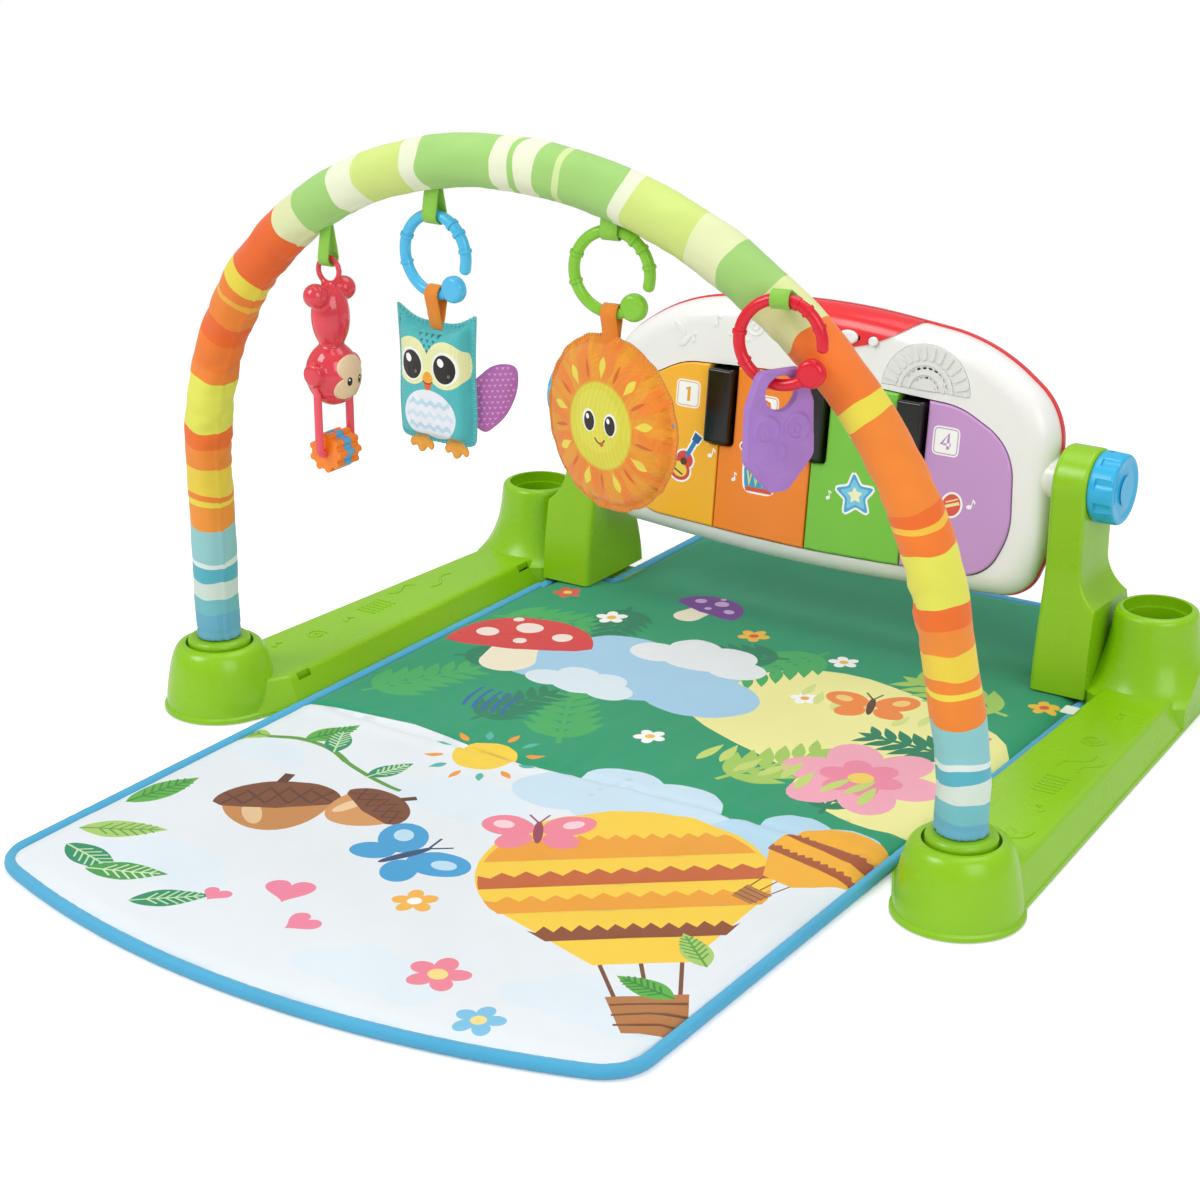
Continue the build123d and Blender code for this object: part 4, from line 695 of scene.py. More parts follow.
# striped fabric sleeve over the arch
sleeveShape = {
    "footSpan": 315.0,
    "kink": 104.0,
    "lean": 7.93,
    "legTilt": 7.28,
    "legStraight": 105.8,
    "shoulderRadius": 275.0,
    "shoulderEnd": 28.69,
    "radius": 16.9,
    "footHeight": 58.6,
    "row": 1.5,
    "around": 56,
    "seamAngle": -64.0,  # from the front, towards the inside of the arch
    # millimetres along the sleeve from its left foot, and the colour that starts there
    "leftBands": (
        (0, "#6CB5D2"), (19, "#77C4CB"), (36.5, "#DCEBDF"), (49, "#59B8CA"), (61, "#E6F2EC"),
        (65.5, "#98D2D4"), (94, "#FA9A35"), (112, "#F6E14A"), (115.5, "#F98A2A"), (122.7, "#F7D843"),
        (146, "#FA9230"), (161.8, "#F97421"), (177.3, "#ECEC58"), (220, "#F98A2A"), (231.3, "#F9C63E"),
        (232.4, "#F97F23"), (257.5, "#F56A1A"), (275, "#F98A2A"), (296, "#F9BA3C"), (297.1, "#F8862A"),
        (310.3, "#F4DF45"), (321.4, "#F4691B"), (375.3, "#E6EDB4"), (401.8, "#A3D474"), (441.5, "#EDF3D2"),
        (462.4, "#D3E77E"), (506.5, "#EDF3D2"), (519.7, "#A3D474"), (559.3, "#D8EBA4"), (561.5, "#A3D474"),
        (577, "#EDF3D2"),
    ),
    "rightBands": (
        (583, "#EDF3D2"), (590.2, "#A3D474"), (597.9, "#EDF3D2"), (610, "#A3D474"), (625.4, "#D8EBA4"),
        (627.6, "#A3D474"), (671.7, "#EDF3D2"), (680.5, "#D3E77E"), (725.7, "#E8EFB8"), (749.9, "#A3D474"),
        (784.1, "#E3ECA6"), (813.8, "#F97E26"), (868, "#F4E34A"), (879, "#F98A2A"), (892, "#F9C63E"),
        (893.1, "#F98A2A"), (938.9, "#F56F1E"), (950.3, "#F9C63E"), (951.4, "#F97F23"), (964.9, "#EDEB58"),
        (1004.3, "#F97421"), (1017, "#FA9230"), (1037.3, "#F7D843"), (1055.2, "#F98A2A"),
        (1062.4, "#F6E14A"), (1066, "#F98A2A"), (1083.9, "#8FD0D3"), (1110.8, "#E6F2EC"),
        (1116.2, "#59B8CA"), (1126.6, "#DCEBDF"), (1139.8, "#77C4CB"), (1156, "#6CB5D2"),
    ),
}


def archCentreLine(shape):
    # points of the arch's centre line from the left foot to the right one, millimetres
    lean, tilt = math.radians(shape["lean"]), math.radians(shape["legTilt"])
    legX = shape["footSpan"] - shape["legStraight"] * math.sin(tilt)
    legV = shape["legStraight"] * math.cos(tilt)
    radius, last = shape["shoulderRadius"], math.radians(shape["shoulderEnd"])
    middle = (legX - radius * math.cos(tilt), legV - radius * math.sin(tilt))
    top = (middle[0] + radius * math.cos(last), middle[1] + radius * math.sin(last))
    crown = top[0] / math.cos(last)
    crownV = top[1] - crown * math.sin(last)

    def leaned(x, v):
        return Vector((x, -v * math.sin(lean), shape["kink"] + v * math.cos(lean)))

    right = [Vector((shape["footSpan"], 0, shape["footHeight"] + i))
             for i in range(int(shape["kink"] - shape["footHeight"] - 12))]
    right += [leaned(shape["footSpan"] + (legX - shape["footSpan"]) * t / 40, legV * t / 40)
              for t in range(6, 41)]
    right += [leaned(middle[0] + radius * math.cos(tilt + (last - tilt) * t / 60),
                     middle[1] + radius * math.sin(tilt + (last - tilt) * t / 60)) for t in range(1, 61)]
    right += [leaned(crown * math.cos(last + (math.pi / 2 - last) * t / 90),
                     crownV + crown * math.sin(last + (math.pi / 2 - last) * t / 90)) for t in range(1, 91)]
    left = [Vector((-p.x, p.y, p.z)) for p in right]
    return left + right[-2::-1]


def evenPoints(points, step):
    # the same line with points a step apart, and how far along each lies
    spots = np.array([p[:] for p in points])
    along = np.r_[0, np.cumsum(np.linalg.norm(np.diff(spots, axis=0), axis=1))]
    count = int(along[-1] / step) + 1
    wanted = np.linspace(0, along[-1], count)
    return [Vector([np.interp(w, along, spots[:, k]) for k in range(3)]) for w in wanted], wanted


def tubeMesh(name, rows, uvRows, closed=True):
    # rows of points joined into a tube, with the ends drawn in
    around = len(rows[0])
    mesh = bpy.data.meshes.new(name)
    verts = [p for row in rows for p in row]
    faces, uvs = [], []
    for k in range(len(rows) - 1):
        for i in range(around):
            j = (i + 1) % around
            faces.append((k * around + i, k * around + j, (k + 1) * around + j, (k + 1) * around + i))
            u0, u1 = uvRows[k][i][0], uvRows[k][i + 1][0]
            uvs += [(u0, uvRows[k][i][1]), (u1, uvRows[k][i][1]),
                    (u1, uvRows[k + 1][i][1]), (u0, uvRows[k + 1][i][1])]
    if closed:
        faces += [tuple(range(around))[::-1], tuple((len(rows) - 1) * around + i for i in range(around))]
        uvs += [(0, 0)] * around * 2
    mesh.from_pydata(verts, [], faces)
    layer = mesh.uv_layers.new(name="clothMap")
    layer.data.foreach_set("uv", np.array(uvs, np.float32).ravel())
    mesh.polygons.foreach_set("use_smooth", [True] * len(mesh.polygons))
    bm = bmesh.new()
    bm.from_mesh(mesh)
    bmesh.ops.recalc_face_normals(bm, faces=bm.faces)
    bm.to_mesh(mesh)
    bm.free()
    piece = bpy.data.objects.new(name, mesh)
    bpy.context.collection.objects.link(piece)
    return piece


def sleeveSkin(shape):
    points, along = evenPoints(archCentreLine(shape), shape["row"])
    length = along[-1]
    lean = math.radians(shape["lean"])
    front = Vector((0, -math.cos(lean), -math.sin(lean)))
    rows, uvRows = [], []
    seam = math.radians(shape["seamAngle"])

    def ringAt(k, s, drawIn=0.0):
        before, after = points[max(k - 1, 0)], points[min(k + 1, len(points) - 1)]
        along3 = (after - before).normalized()
        forward = (front - along3 * front.dot(along3)).normalized()
        outward = along3.cross(forward)
        if outward.dot(points[k] - Vector((0, points[k].y, 150))) < 0:
            outward = -outward
        fromFoot = min(s, length - s)
        bend = max(0.0, min(1.0, (fromFoot - 95) / 60)) * max(0.25, min(1.0, (470 - fromFoot) / 160))
        # drawn in where the teether hangs close by
        close = math.exp(-(((points[k] - Vector((238, -42, 325))).length / 55) ** 2))
        calm = 1 - 0.75 * close
        ring, uvs = [], []
        for i in range(shape["around"] + 1):
            a = 2 * math.pi * i / shape["around"]
            inward = max(0.0, -math.sin(a))
            gather = 0.45 * math.exp(-fromFoot / 10) * math.sin(19 * a + 3 * math.sin(2 * a))
            folds = 1.7 * calm * bend * inward**1.3 * noise.noise(Vector((s / 8.5, math.cos(a) * 1.3, 2.2)))
            slack = 1.0 * calm * noise.noise(Vector((s / 34 + math.cos(a) * 0.9, math.sin(a) * 1.3, 7.1)))
            diagonal = 1.1 * calm * bend * noise.noise(
                Vector(((s + 22 * math.cos(a)) / 13, math.sin(a) * 0.8, 4.4)))
            away = (a - seam + math.pi) % (2 * math.pi) - math.pi
            ridge = 1.2 * math.exp(-((away / 0.075) ** 2)) - 0.45 * math.exp(-(((away - 0.16) / 0.06) ** 2))
            r = shape["radius"] - 0.9 * close + gather + folds + slack + diagonal + calm * ridge - drawIn
            r -= 0.5 * math.exp(-((fromFoot - 6.5) ** 2) / 3)  # elastic line of the hem
            ring.append((points[k] + (forward * math.cos(a) + outward * math.sin(a)) * r) * mm)
            uvs.append((a * shape["radius"] * mm, s * mm))
        return ring[:-1], uvs

    for k, s in enumerate(along):
        ring, uvs = ringAt(k, s)
        rows.append(ring)
        uvRows.append(uvs)
    for end, k in ((0, 0), (1, len(points) - 1)):
        for drawIn in (0.6, 2.2, 5.0):
            ring, uvs = ringAt(k, along[k], drawIn)
            lift = Vector((0, 0, (0.35 if drawIn < 5 else 1.2) * mm))
            ring = [p + lift for p in ring]
            if end:
                rows.append(ring)
                uvRows.append(uvs)
            else:
                rows.insert(0, ring)
                uvRows.insert(0, uvs)
    return tubeMesh("archSleeve", rows, uvRows, closed=False)


def bandedCloth(name, shape, pitch=0.0007):
    # printed polyester with crisp bands along the sleeve and a sewn seam
    material, tree, shader = newMaterial(name, IOR=1.46, Roughness=0.72, Sheen_Weight=0.15,
                                         Sheen_Roughness=0.5)
    texCoord = addNode(tree, "TexCoord", (-1500, 0))
    uv = addNode(tree, "SeparateXYZ", (-1300, 0), Vector=texCoord.outputs["UV"])
    waver = addNode(tree, "TexNoise", (-1300, 300), Vector=texCoord.outputs["Object"], Scale=28.0, Detail=1.0)
    shift = addNode(tree, "MapRange", (-1100, 300), Value=waver.outputs[0], To_Min=-0.006, To_Max=0.006)
    place = addNode(tree, "Math", (-900, 200), {"operation": "ADD"}, i0=uv.outputs[1], i1=shift.outputs[0])
    length, middle = 1.17, 0.583
    ramps = []
    for row, bands in enumerate((shape["leftBands"], shape["rightBands"])):
        share = addNode(tree, "Math", (-700, 200 - 250 * row), {"operation": "DIVIDE"},
                        i0=place.outputs[0], i1=length)
        ramp = addNode(tree, "ValToRGB", (-500, 200 - 250 * row), Fac=share.outputs[0])
        ramp.color_ramp.interpolation = "CONSTANT"
        stops = ramp.color_ramp.elements
        while len(stops) < len(bands):
            stops.new(1.0)
        for stop, (start, code) in zip(stops, bands):
            stop.position = start * mm / length
        for stop, (start, code) in zip(ramp.color_ramp.elements, bands):
            stop.color = hexToLinear(code)
        ramps.append(ramp.outputs[0])
    side = addNode(tree, "Math", (-500, 450), {"operation": "GREATER_THAN"}, i0=place.outputs[0], i1=middle)
    both = addNode(tree, "Mix", (-200, 200), {"data_type": "RGBA"}, Factor=side.outputs[0],
                   i6=ramps[0], i7=ramps[1])
    toned = shiftedColour(tree, both.outputs[2], 14.0, 0.05, texCoord.outputs["Object"])
    height = weaveHeight(tree, texCoord.outputs["UV"], pitch)
    # painted shade: the weave's low places between threads are coloured darker, besides the bump
    weaveValleyShade = addNode(tree, "MapRange", (-200, -100), Value=height, To_Min=0.92, To_Max=1.03)
    shadedThreads = addNode(tree, "HueSaturation", (50, 200), Value=weaveValleyShade.outputs[0], Color=toned)
    tree.links.new(shadedThreads.outputs[0], shader.inputs["Base Color"])
    bump = addNode(tree, "Bump", (0, -400), Strength=0.4, Distance=0.00012, Height=height)
    tree.links.new(bump.outputs[0], shader.inputs["Normal"])
    return material


sleevePiece = sleeveSkin(sleeveShape)
sleevePiece.data.materials.append(bandedCloth("bandedSleeveCloth", sleeveShape))
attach(sleevePiece, "arch")
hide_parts("arch_sleeve")
print("sleeve sewn")

# piping round the mat
pipingShape = {"inset": 2.4, "radius": 3.9, "height": 5.2, "around": 14, "step": 2.0}


def pipingRing(shape):
    # two rolled tapes side by side, one a little higher
    outline = matOutline({**matShape, "halfWidth": 254.0, "cornerRadius": 32.0, "rear": 535.0,
                          "stepHalf": 251.0, "stepY": 343.0, "notchHalf": 205.0, "notchY": 385.0,
                          "frontSag": 47.0}, shape["inset"])
    loop = [Vector((x, y, 0)) for x, y in outline]
    points, along = evenPoints(loop + [loop[0]], shape["step"])
    points, along = points[:-1], along[:-1]
    rows, uvRows = [], []
    count = len(points)
    for k, p in enumerate(points):
        direction = (points[(k + 1) % count] - points[k - 1]).normalized()
        outward = Vector((direction.y, -direction.x, 0))
        s = along[k]
        ring, uvs = [], []
        for i in range(shape["around"] + 1):
            a = 2 * math.pi * i / shape["around"]
            groove = 0.9 * math.exp(-(((a - 1.9) / 0.22) ** 2))
            pucker = 0.16 * noise.noise(Vector((s / 3.5, math.cos(a), 3.1)))
            r = shape["radius"] - groove + pucker
            wide, tall = 1.12, 1.24
            spot = (p + outward * (r * wide * math.cos(a))
                    + Vector((0, 0, shape["height"] + r * tall * math.sin(a))))
            spot.z = max(spot.z, 0.35)
            ring.append(spot * mm)
            uvs.append((a * shape["radius"] * mm, s * mm))
        rows.append(ring[:-1])
        uvRows.append(uvs)
    rows.append(rows[0])
    uvRows.append([(u, (along[-1] + shape["step"]) * mm) for u, _ in uvRows[0]])
    piece = tubeMesh("matPiping", rows, uvRows, closed=False)
    bm = bmesh.new()
    bm.from_mesh(piece.data)
    bmesh.ops.remove_doubles(bm, verts=bm.verts, dist=1e-6)
    bmesh.ops.recalc_face_normals(bm, faces=bm.faces)
    bm.to_mesh(piece.data)
    bm.free()
    return piece


pipingPiece = pipingRing(pipingShape)
pipingCloth = cloth("pipingCloth", "#4AB0DA", pitch=0.0009, rough=0.7, sheen=0.2, tone=0.05, useUv=True)
pipingPiece.data.materials.append(pipingCloth)
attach(pipingPiece, "base")
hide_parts("mat_binding")
print("piping sewn")

# webbing loops and tags
def uprightPlane(place, turn):
    # right, up and front directions of something that hangs, turned about the vertical
    angle = math.radians(turn)
    right = Vector((math.cos(angle), math.sin(angle), 0))
    front = Vector((math.sin(angle), -math.cos(angle), 0))
    return Vector(place), right, front


strapShape = {"bore": 5.0, "thickness": 1.15, "edge": 0.28, "step": 0.8}

# place of the wire, turn, root (front, up), width, millimetres
strapPlaces = {
    "hang_loop_1": ((-155, -44.2, 381), 0, (0, 28), 9, "leafWebbing", "arch"),
    "hang_loop_2": ((-60, -49.2, 422), -4, (0, 28), 12, "leafWebbing", "arch"),
    "hang_loop_3": ((78, -48.6, 427.7), 8, (0, 22), 12, "leafWebbing", "arch"),
    "hang_loop_4": ((210.5, -67, 405.5), 11, (-24, -6), 12, "leafWebbing", "arch"),
    "owl_tag": ((-60, -49.2, 369.4), -4, (0, -24), 11, "orangeWebbing", "owl"),
    "sun_tag": ((78, -48.6, 375.1), 8, (0, -21), 11, "orangeWebbing", "sun"),
}


def strapLoop(name, place, turn, root, width, shape):
    origin, right, front = uprightPlane(place, turn)
    up = Vector((0, 0, 1))
    radius = shape["bore"] + shape["thickness"] / 2
    distance = math.hypot(*root)
    away = math.atan2(root[1], root[0])
    spread = math.acos(radius / distance)
    start, end = away + spread, away + 2 * math.pi - spread
    line = [(root[0], root[1])]
    line += [(radius * math.cos(start + (end - start) * i / 24),
              radius * math.sin(start + (end - start) * i / 24))
             for i in range(25)]
    line.append((root[0], root[1]))
    flat = [Vector((a, b, 0)) for a, b in line]
    points, along = evenPoints(flat, shape["step"])
    half, edge = width / 2, shape["edge"]
    thick = shape["thickness"] / 2
    section = [(-half, -thick + edge), (-half + edge, -thick), (half - edge, -thick), (half, -thick + edge),
               (half, thick - edge), (half - edge, thick), (-half + edge, thick), (-half, thick - edge)]
    rows, uvRows = [], []
    for k, p in enumerate(points):
        before, after = points[max(k - 1, 0)], points[min(k + 1, len(points) - 1)]
        direction = (after - before).normalized()
        normal = Vector((direction.y, -direction.x, 0))
        sag = 0.25 * noise.noise(Vector((along[k] / 6, place[0], 1)))
        ring, uvs = [], []
        for i in range(len(section) + 1):
            w, t = section[i % len(section)]
            spot = p + normal * (t + sag * (w / half) ** 2)
            ring.append((origin + front * spot.x + up * spot.y + right * w) * mm)
            uvs.append(((w + (2 * width if t > 0 else 0)) * mm, along[k] * mm))
        rows.append(ring[:-1])
        uvRows.append(uvs)
    return tubeMesh(name, rows, uvRows)


webbings = {
    "leafWebbing": cloth("leafWebbing", "#8ECB45", pitch=0.0013, rough=0.7, sheen=0.2, depth=0.0003,
                         useUv=True),
    "orangeWebbing": cloth("orangeWebbing", "#EF8A1C", pitch=0.0011, rough=0.7, sheen=0.2, depth=0.0002,
                           useUv=True),
}
for node, (place, turn, root, width, finish, body) in strapPlaces.items():
    strap = strapLoop("strap_" + node, place, turn, root, width, strapShape)
    strap.data.materials.append(webbings[finish])
    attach(strap, body)
    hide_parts(node)
print("straps folded")

# stuffed toys: blown up as cloth, then dressed in their printed panels


def cushionBlock(outline, thickness, name):
    # flat sewn bag before it is stuffed, lying in XY
    mesh = bpy.data.meshes.new(name)
    points = [Vector(p) for p in outline]
    verts, _, faces, *_ = delaunay_2d_cdt(points, [(i, (i + 1) % len(points)) for i in range(len(points))],
                                          [], 1, 1e-4)
    mesh.from_pydata([(v.x * mm, v.y * mm, 0) for v in verts], [], [f[:] for f in faces])
    piece = bpy.data.objects.new(name, mesh)
    bpy.context.collection.objects.link(piece)
    pickOnly(piece)
    solid = piece.modifiers.new("wall", "SOLIDIFY")
    solid.thickness = thickness * mm
    solid.offset = 0
    applyAll(piece)
    return piece


def stuffed(piece, voxel=0.004, pressure=4.0, cap=0.008):
    # remesh, swell under pressure, and keep each point within the cap
    pickOnly(piece)
    remesh = piece.modifiers.new("even", "REMESH")
    remesh.mode = "VOXEL"
    remesh.voxel_size = voxel
    applyAll(piece)
    before = np.array([v.co[:] for v in piece.data.vertices])
    cover = piece.modifiers.new("stuffing", "CLOTH")
    cover.settings.use_pressure = True
    cover.settings.uniform_pressure_force = pressure
    cover.settings.effector_weights.gravity = 0
    cover.settings.quality = 6
    cover.settings.tension_stiffness = 25
    cover.settings.compression_stiffness = 25
    cover.settings.bending_stiffness = 1.2
    cover.settings.mass = 0.2
    cover.point_cache.frame_start = 1
    cover.point_cache.frame_end = 20
    for step in range(1, 21):
        bpy.context.scene.frame_set(step)
    applyAll(piece)
    bpy.context.scene.frame_set(1)
    after = np.array([v.co[:] for v in piece.data.vertices])
    move = after - before
    size = np.linalg.norm(move, axis=1, keepdims=True)
    after = before + move * np.minimum(1, cap / np.maximum(size, 1e-9))
    piece.data.vertices.foreach_set("co", after.astype(np.float32).ravel())
    rounder = piece.modifiers.new("rounder", "SUBSURF")
    rounder.levels = rounder.render_levels = 1
    softer = piece.modifiers.new("softer", "SMOOTH")
    softer.iterations = 4
    applyAll(piece)
    return piece


def surfaceHeights(block, flat, fallback):
    # how far the stuffed shape stands in front of and behind its seam plane
    tree = BVHTree.FromObject(block, bpy.context.evaluated_depsgraph_get())
    fronts, backs = [], []
    for x, y in flat:
        hit = tree.ray_cast(Vector((x * mm, y * mm, 0.2)), Vector((0, 0, -1)))[0]
        back = tree.ray_cast(Vector((x * mm, y * mm, -0.2)), Vector((0, 0, 1)))[0]
        fronts.append(hit.z / mm if hit else fallback)
        backs.append(back.z / mm if back else -fallback)
    return np.array(fronts), np.array(backs)


def sewnPanels(name, outline, motifs, ground, block, shape, place, relief=None):
    # front and back panel meet in a flat seam; motifs colour the front
    box = np.array(outline)
    step = shape["grid"]
    xs = np.arange(box[:, 0].min() + step / 2, box[:, 0].max(), step)
    ys = np.arange(box[:, 1].min() + step / 2, box[:, 1].max(), step)
    grid = np.array([(x + (step / 2 if k % 2 else 0), y) for k, y in enumerate(ys) for x in xs])
    grid = grid[insidePolygon(grid, outline)]
    grid = grid[edgeDistance(grid, outline) > step * 0.45]
    points = [Vector(p) for p in outline]
    edges = [(i, (i + 1) % len(outline)) for i in range(len(outline))]
    for ring, _ in motifs:
        start = len(points)
        points += [Vector(p) for p in ring]
        edges += [(start + i, start + (i + 1) % len(ring)) for i in range(len(ring))]
    points += [Vector(p) for p in grid]
    verts, _, faces, *_ = delaunay_2d_cdt(points, edges, [], 0, 1e-3)
    flat = np.array([v[:] for v in verts])
    tris = np.array([f for f in faces if len(f) == 3])
    middle = flat[tris].mean(axis=1)
    keep = insidePolygon(middle, outline)
    tris, middle = tris[keep], middle[keep]
    colours = np.tile(np.array(hexToLinear(ground)), (len(tris), 1))
    for ring, colour in motifs:
        hit = insidePolygon(middle, ring)
        colours[hit] = hexToLinear(colour)
    used = np.unique(tris)
    renumber = {int(v): i for i, v in enumerate(used)}
    flat = flat[used]
    tris = [tuple(renumber[int(v)] for v in t) for t in tris]
    reach = edgeDistance(flat, outline)
    fronts, backs = surfaceHeights(block, flat, 0.6)
    flange = shape["flange"]
    rise = np.clip((reach - flange) / 3.0, 0, 1) ** 0.55
    lift = np.array([relief(x, y, r) if relief else 0.0 for (x, y), r in zip(flat, reach)])
    front = np.maximum(fronts, 0.55) * rise + 0.55 * (1 - rise) + lift * rise
    back = np.minimum(backs, -0.55) * rise - 0.55 * (1 - rise) - lift * rise * 0.6
    origin, right, forward = place
    up = Vector((0, 0, 1))

    def setOut(x, y, h):
        return (origin + right * x + up * y + forward * h) * mm

    coords = [setOut(x, y, h) for (x, y), h in zip(flat, front)]
    coords += [setOut(x, y, h) for (x, y), h in zip(flat, back)]
    count = len(flat)
    once = {}
    for t in tris:
        for a, b in zip(t, t[1:] + t[:1]):
            once[(a, b)] = 1
    rim = [(a, b) for a, b in once if (b, a) not in once]
    faceList = list(tris) + [(c + count, b + count, a + count) for a, b, c in tris]
    faceList += [(b, a, a + count, b + count) for a, b in rim]
    mesh = bpy.data.meshes.new(name)
    mesh.from_pydata(coords, [], faceList)
    paint = mesh.color_attributes.new("panelPrint", "FLOAT_COLOR", "CORNER")
    values = np.tile(np.array(hexToLinear(shape["back"])), (len(mesh.loops), 1))
    values[: len(tris) * 3] = np.repeat(colours, 3, axis=0)
    values[-len(rim) * 4:] = hexToLinear(ground)
    paint.data.foreach_set("color", values.astype(np.float32).ravel())
    mesh.polygons.foreach_set("use_smooth", [True] * len(mesh.polygons))
    bm = bmesh.new()
    bm.from_mesh(mesh)
    bmesh.ops.recalc_face_normals(bm, faces=bm.faces)
    bm.to_mesh(mesh)
    bm.free()
    piece = bpy.data.objects.new(name, mesh)
    bpy.context.collection.objects.link(piece)
    return piece


def roundedOutline(corners, radii, count=5):
    # closed outline with each corner rounded by its radius
    ring = []
    total = len(corners)
    for i, (corner, radius) in enumerate(zip(corners, radii)):
        here = Vector(corner)
        before, after = Vector(corners[i - 1]), Vector(corners[(i + 1) % total])
        a, b = (before - here).normalized(), (after - here).normalized()
        cut = min(radius, (before - here).length * 0.48, (after - here).length * 0.48)
        start, end = here + a * cut, here + b * cut
        for k in range(count + 1):
            t = k / count
            ring.append(tuple((start * (1 - t) ** 2 + here * 2 * t * (1 - t) + end * t * t)[:2]))
    return ring


def insetOutline(outline, amount):
    ring = [Vector(p) for p in outline]
    area = sum(a.x * b.y - b.x * a.y for a, b in zip(ring, ring[1:] + ring[:1]))
    turn = 1 if area > 0 else -1
    moved = []
    for i, p in enumerate(ring):
        direction = (ring[(i + 1) % len(ring)] - ring[i - 1]).normalized()
        moved.append((p.x - direction.y * amount * turn, p.y + direction.x * amount * turn))
    return moved


def stitchRow(name, outline, place, shape, material, depth=0.0):
    # whip stitches over the edge of a sewn piece: one thread, many bites
    loop = [Vector((x, y, 0)) for x, y in outline]
    points, _ = evenPoints(loop + [loop[0]], shape["pitch"])
    points = points[:-1]
    origin, right, forward = place
    up = Vector((0, 0, 1))
    verts, faces = [], []
    for k, p in enumerate(points):
        direction = (points[(k + 1) % len(points)] - points[k - 1]).normalized()
        inward = Vector((-direction.y, direction.x, 0)) * shape["side"]
        line = [(p + inward * shape["reach"], depth + 0.95), (p + inward * 0.6, depth + 1.0),
                (p - inward * 0.35, depth + 0.1), (p + inward * 0.6, depth - 1.0),
                (p + inward * shape["reach"], depth - 0.95)]
        first = len(verts)
        for spot, high in line:
            for dx, dh in ((-1, 0), (0, 1), (1, 0), (0, -1)):
                place2 = spot + direction * dx * shape["thread"]
                push = dh * shape["thread"]
                verts.append((origin + right * place2.x + up * place2.y + forward * (high + push)) * mm)
        for r in range(len(line) - 1):
            for i in range(4):
                a, b = first + r * 4 + i, first + r * 4 + (i + 1) % 4
                faces.append((a, b, b + 4, a + 4))
        faces += [tuple(range(first, first + 4))[::-1], tuple(range(first + 16, first + 20))]
    mesh = bpy.data.meshes.new(name)
    mesh.from_pydata(verts, [], faces)
    bm = bmesh.new()
    bm.from_mesh(mesh)
    bmesh.ops.recalc_face_normals(bm, faces=bm.faces)
    bm.to_mesh(mesh)
    bm.free()
    mesh.polygons.foreach_set("use_smooth", [True] * len(mesh.polygons))
    piece = bpy.data.objects.new(name, mesh)
    bpy.context.collection.objects.link(piece)
    piece.data.materials.append(material)
    return piece


# owl
owlShape = {
    "grid": 1.6,
    "flange": 1.8,
    "back": "#45B4B9",
    "ground": "#4DBCBF",
    "thickness": 18.0,
    "wingTurn": 42.0,
    "wingRoot": (27.8, -10, -4),  # out from the middle, up, forward: tucked behind the side seam
}
owlPlace = uprightPlane((-60, -49.2, 312), -2)
owlOutline = roundedOutline(
    ((-31.5, -43), (-22, -44.5), (22, -44.5), (31.5, -42), (33, -20), (31.5, 10), (33.5, 47.5),
     (17, 38.5), (-17, 38.5), (-33.5, 48), (-31.5, 10), (-33, -20)),
    (6, 8, 8, 6, 14, 20, 2.2, 12, 12, 2.2, 20, 14),
)


def owlMotifs():
    motifs = []
    # eye fields meet over the beak
    for side in (-1, 1):
        motifs.append((blob(side * 14.2, 12.5, 15.6, 16.2, side * -8, count=44), "#EFF0B4"))
    motifs.append((blob(0, 9, 7, 9, count=20), "#EFF0B4"))
    for side in (-1, 1):
        motifs.append((blob(side * 14.2, 10.5, 10.2, 11.4, 0, count=40), "#FBFBF4"))
        motifs.append((blob(side * 13.6, 10.0, 8.6, 9.9, 0, count=40), "#17130F"))
        motifs.append((blob(side * 13.6 - 2.6, 14.2, 2.5, 3.0, 20, count=18), "#FFFFFF"))
        motifs.append((blob(side * 13.6 + 3.4, 5.6, 1.2, 1.3, 0, count=12), "#6B625A"))
    motifs.append((blob(0, 1.2, 4.2, 5.6, 0, count=26), "#F4A62A"))
    motifs.append(([(-3.8, -1.0), (3.8, -1.0), (2.0, -5.4), (0, -6.6), (-2.0, -5.4)], "#E0632A"))
    motifs.append((stroke(curve((-4.2, 0.2), (0, -3.4), (4.2, 0.2), 8), 0.7), "#5B2A12"))
    for row, (y, xs) in enumerate(((31, (-7.5, -2.5, 2.5, 7.5)), (27.4, (-5, 0, 5)), (23.8, (-2.4, 2.4)),
                                   (20.4, (0,)))):
        for x in xs:
            motifs.append(([(x - 1.5, y + 1.1), (x + 1.5, y + 1.1), (x, y - 1.5)], "#1C7F8A"))
    belly = blob(0, -24, 21.5, 18.2, 0, count=52)
    motifs.append((belly, "#EDF1F6"))
    for row, tone in ((0, "#BFE0EE"), (1, "#D3E6F2"), (2, "#BFDDEE")):
        y = -15.5 - row * 8.2
        half = 21 * math.sqrt(max(0.05, 1 - ((y + 24) / 18.2) ** 2)) - 1.5
        upper = [(x, y + 1.6 + 1.3 * math.sin(x * 0.85 + row)) for x in np.linspace(-half, half, 40)]
        lower = [(x, y - 1.6 + 1.1 * math.sin(x * 0.85 + row + 0.4)) for x in np.linspace(half, -half, 40)]
        motifs.append((upper + lower, tone))
    return motifs


def plushRelief(x, y, reach):
    # puckers that the sewn edge pulls into the cloth
    pull = math.exp(-reach / 6)
    return (0.5 * pull * noise.noise(Vector((x / 3.2, y / 3.2, 2)))
            + 0.35 * noise.noise(Vector((x / 16, y / 16, 6))))


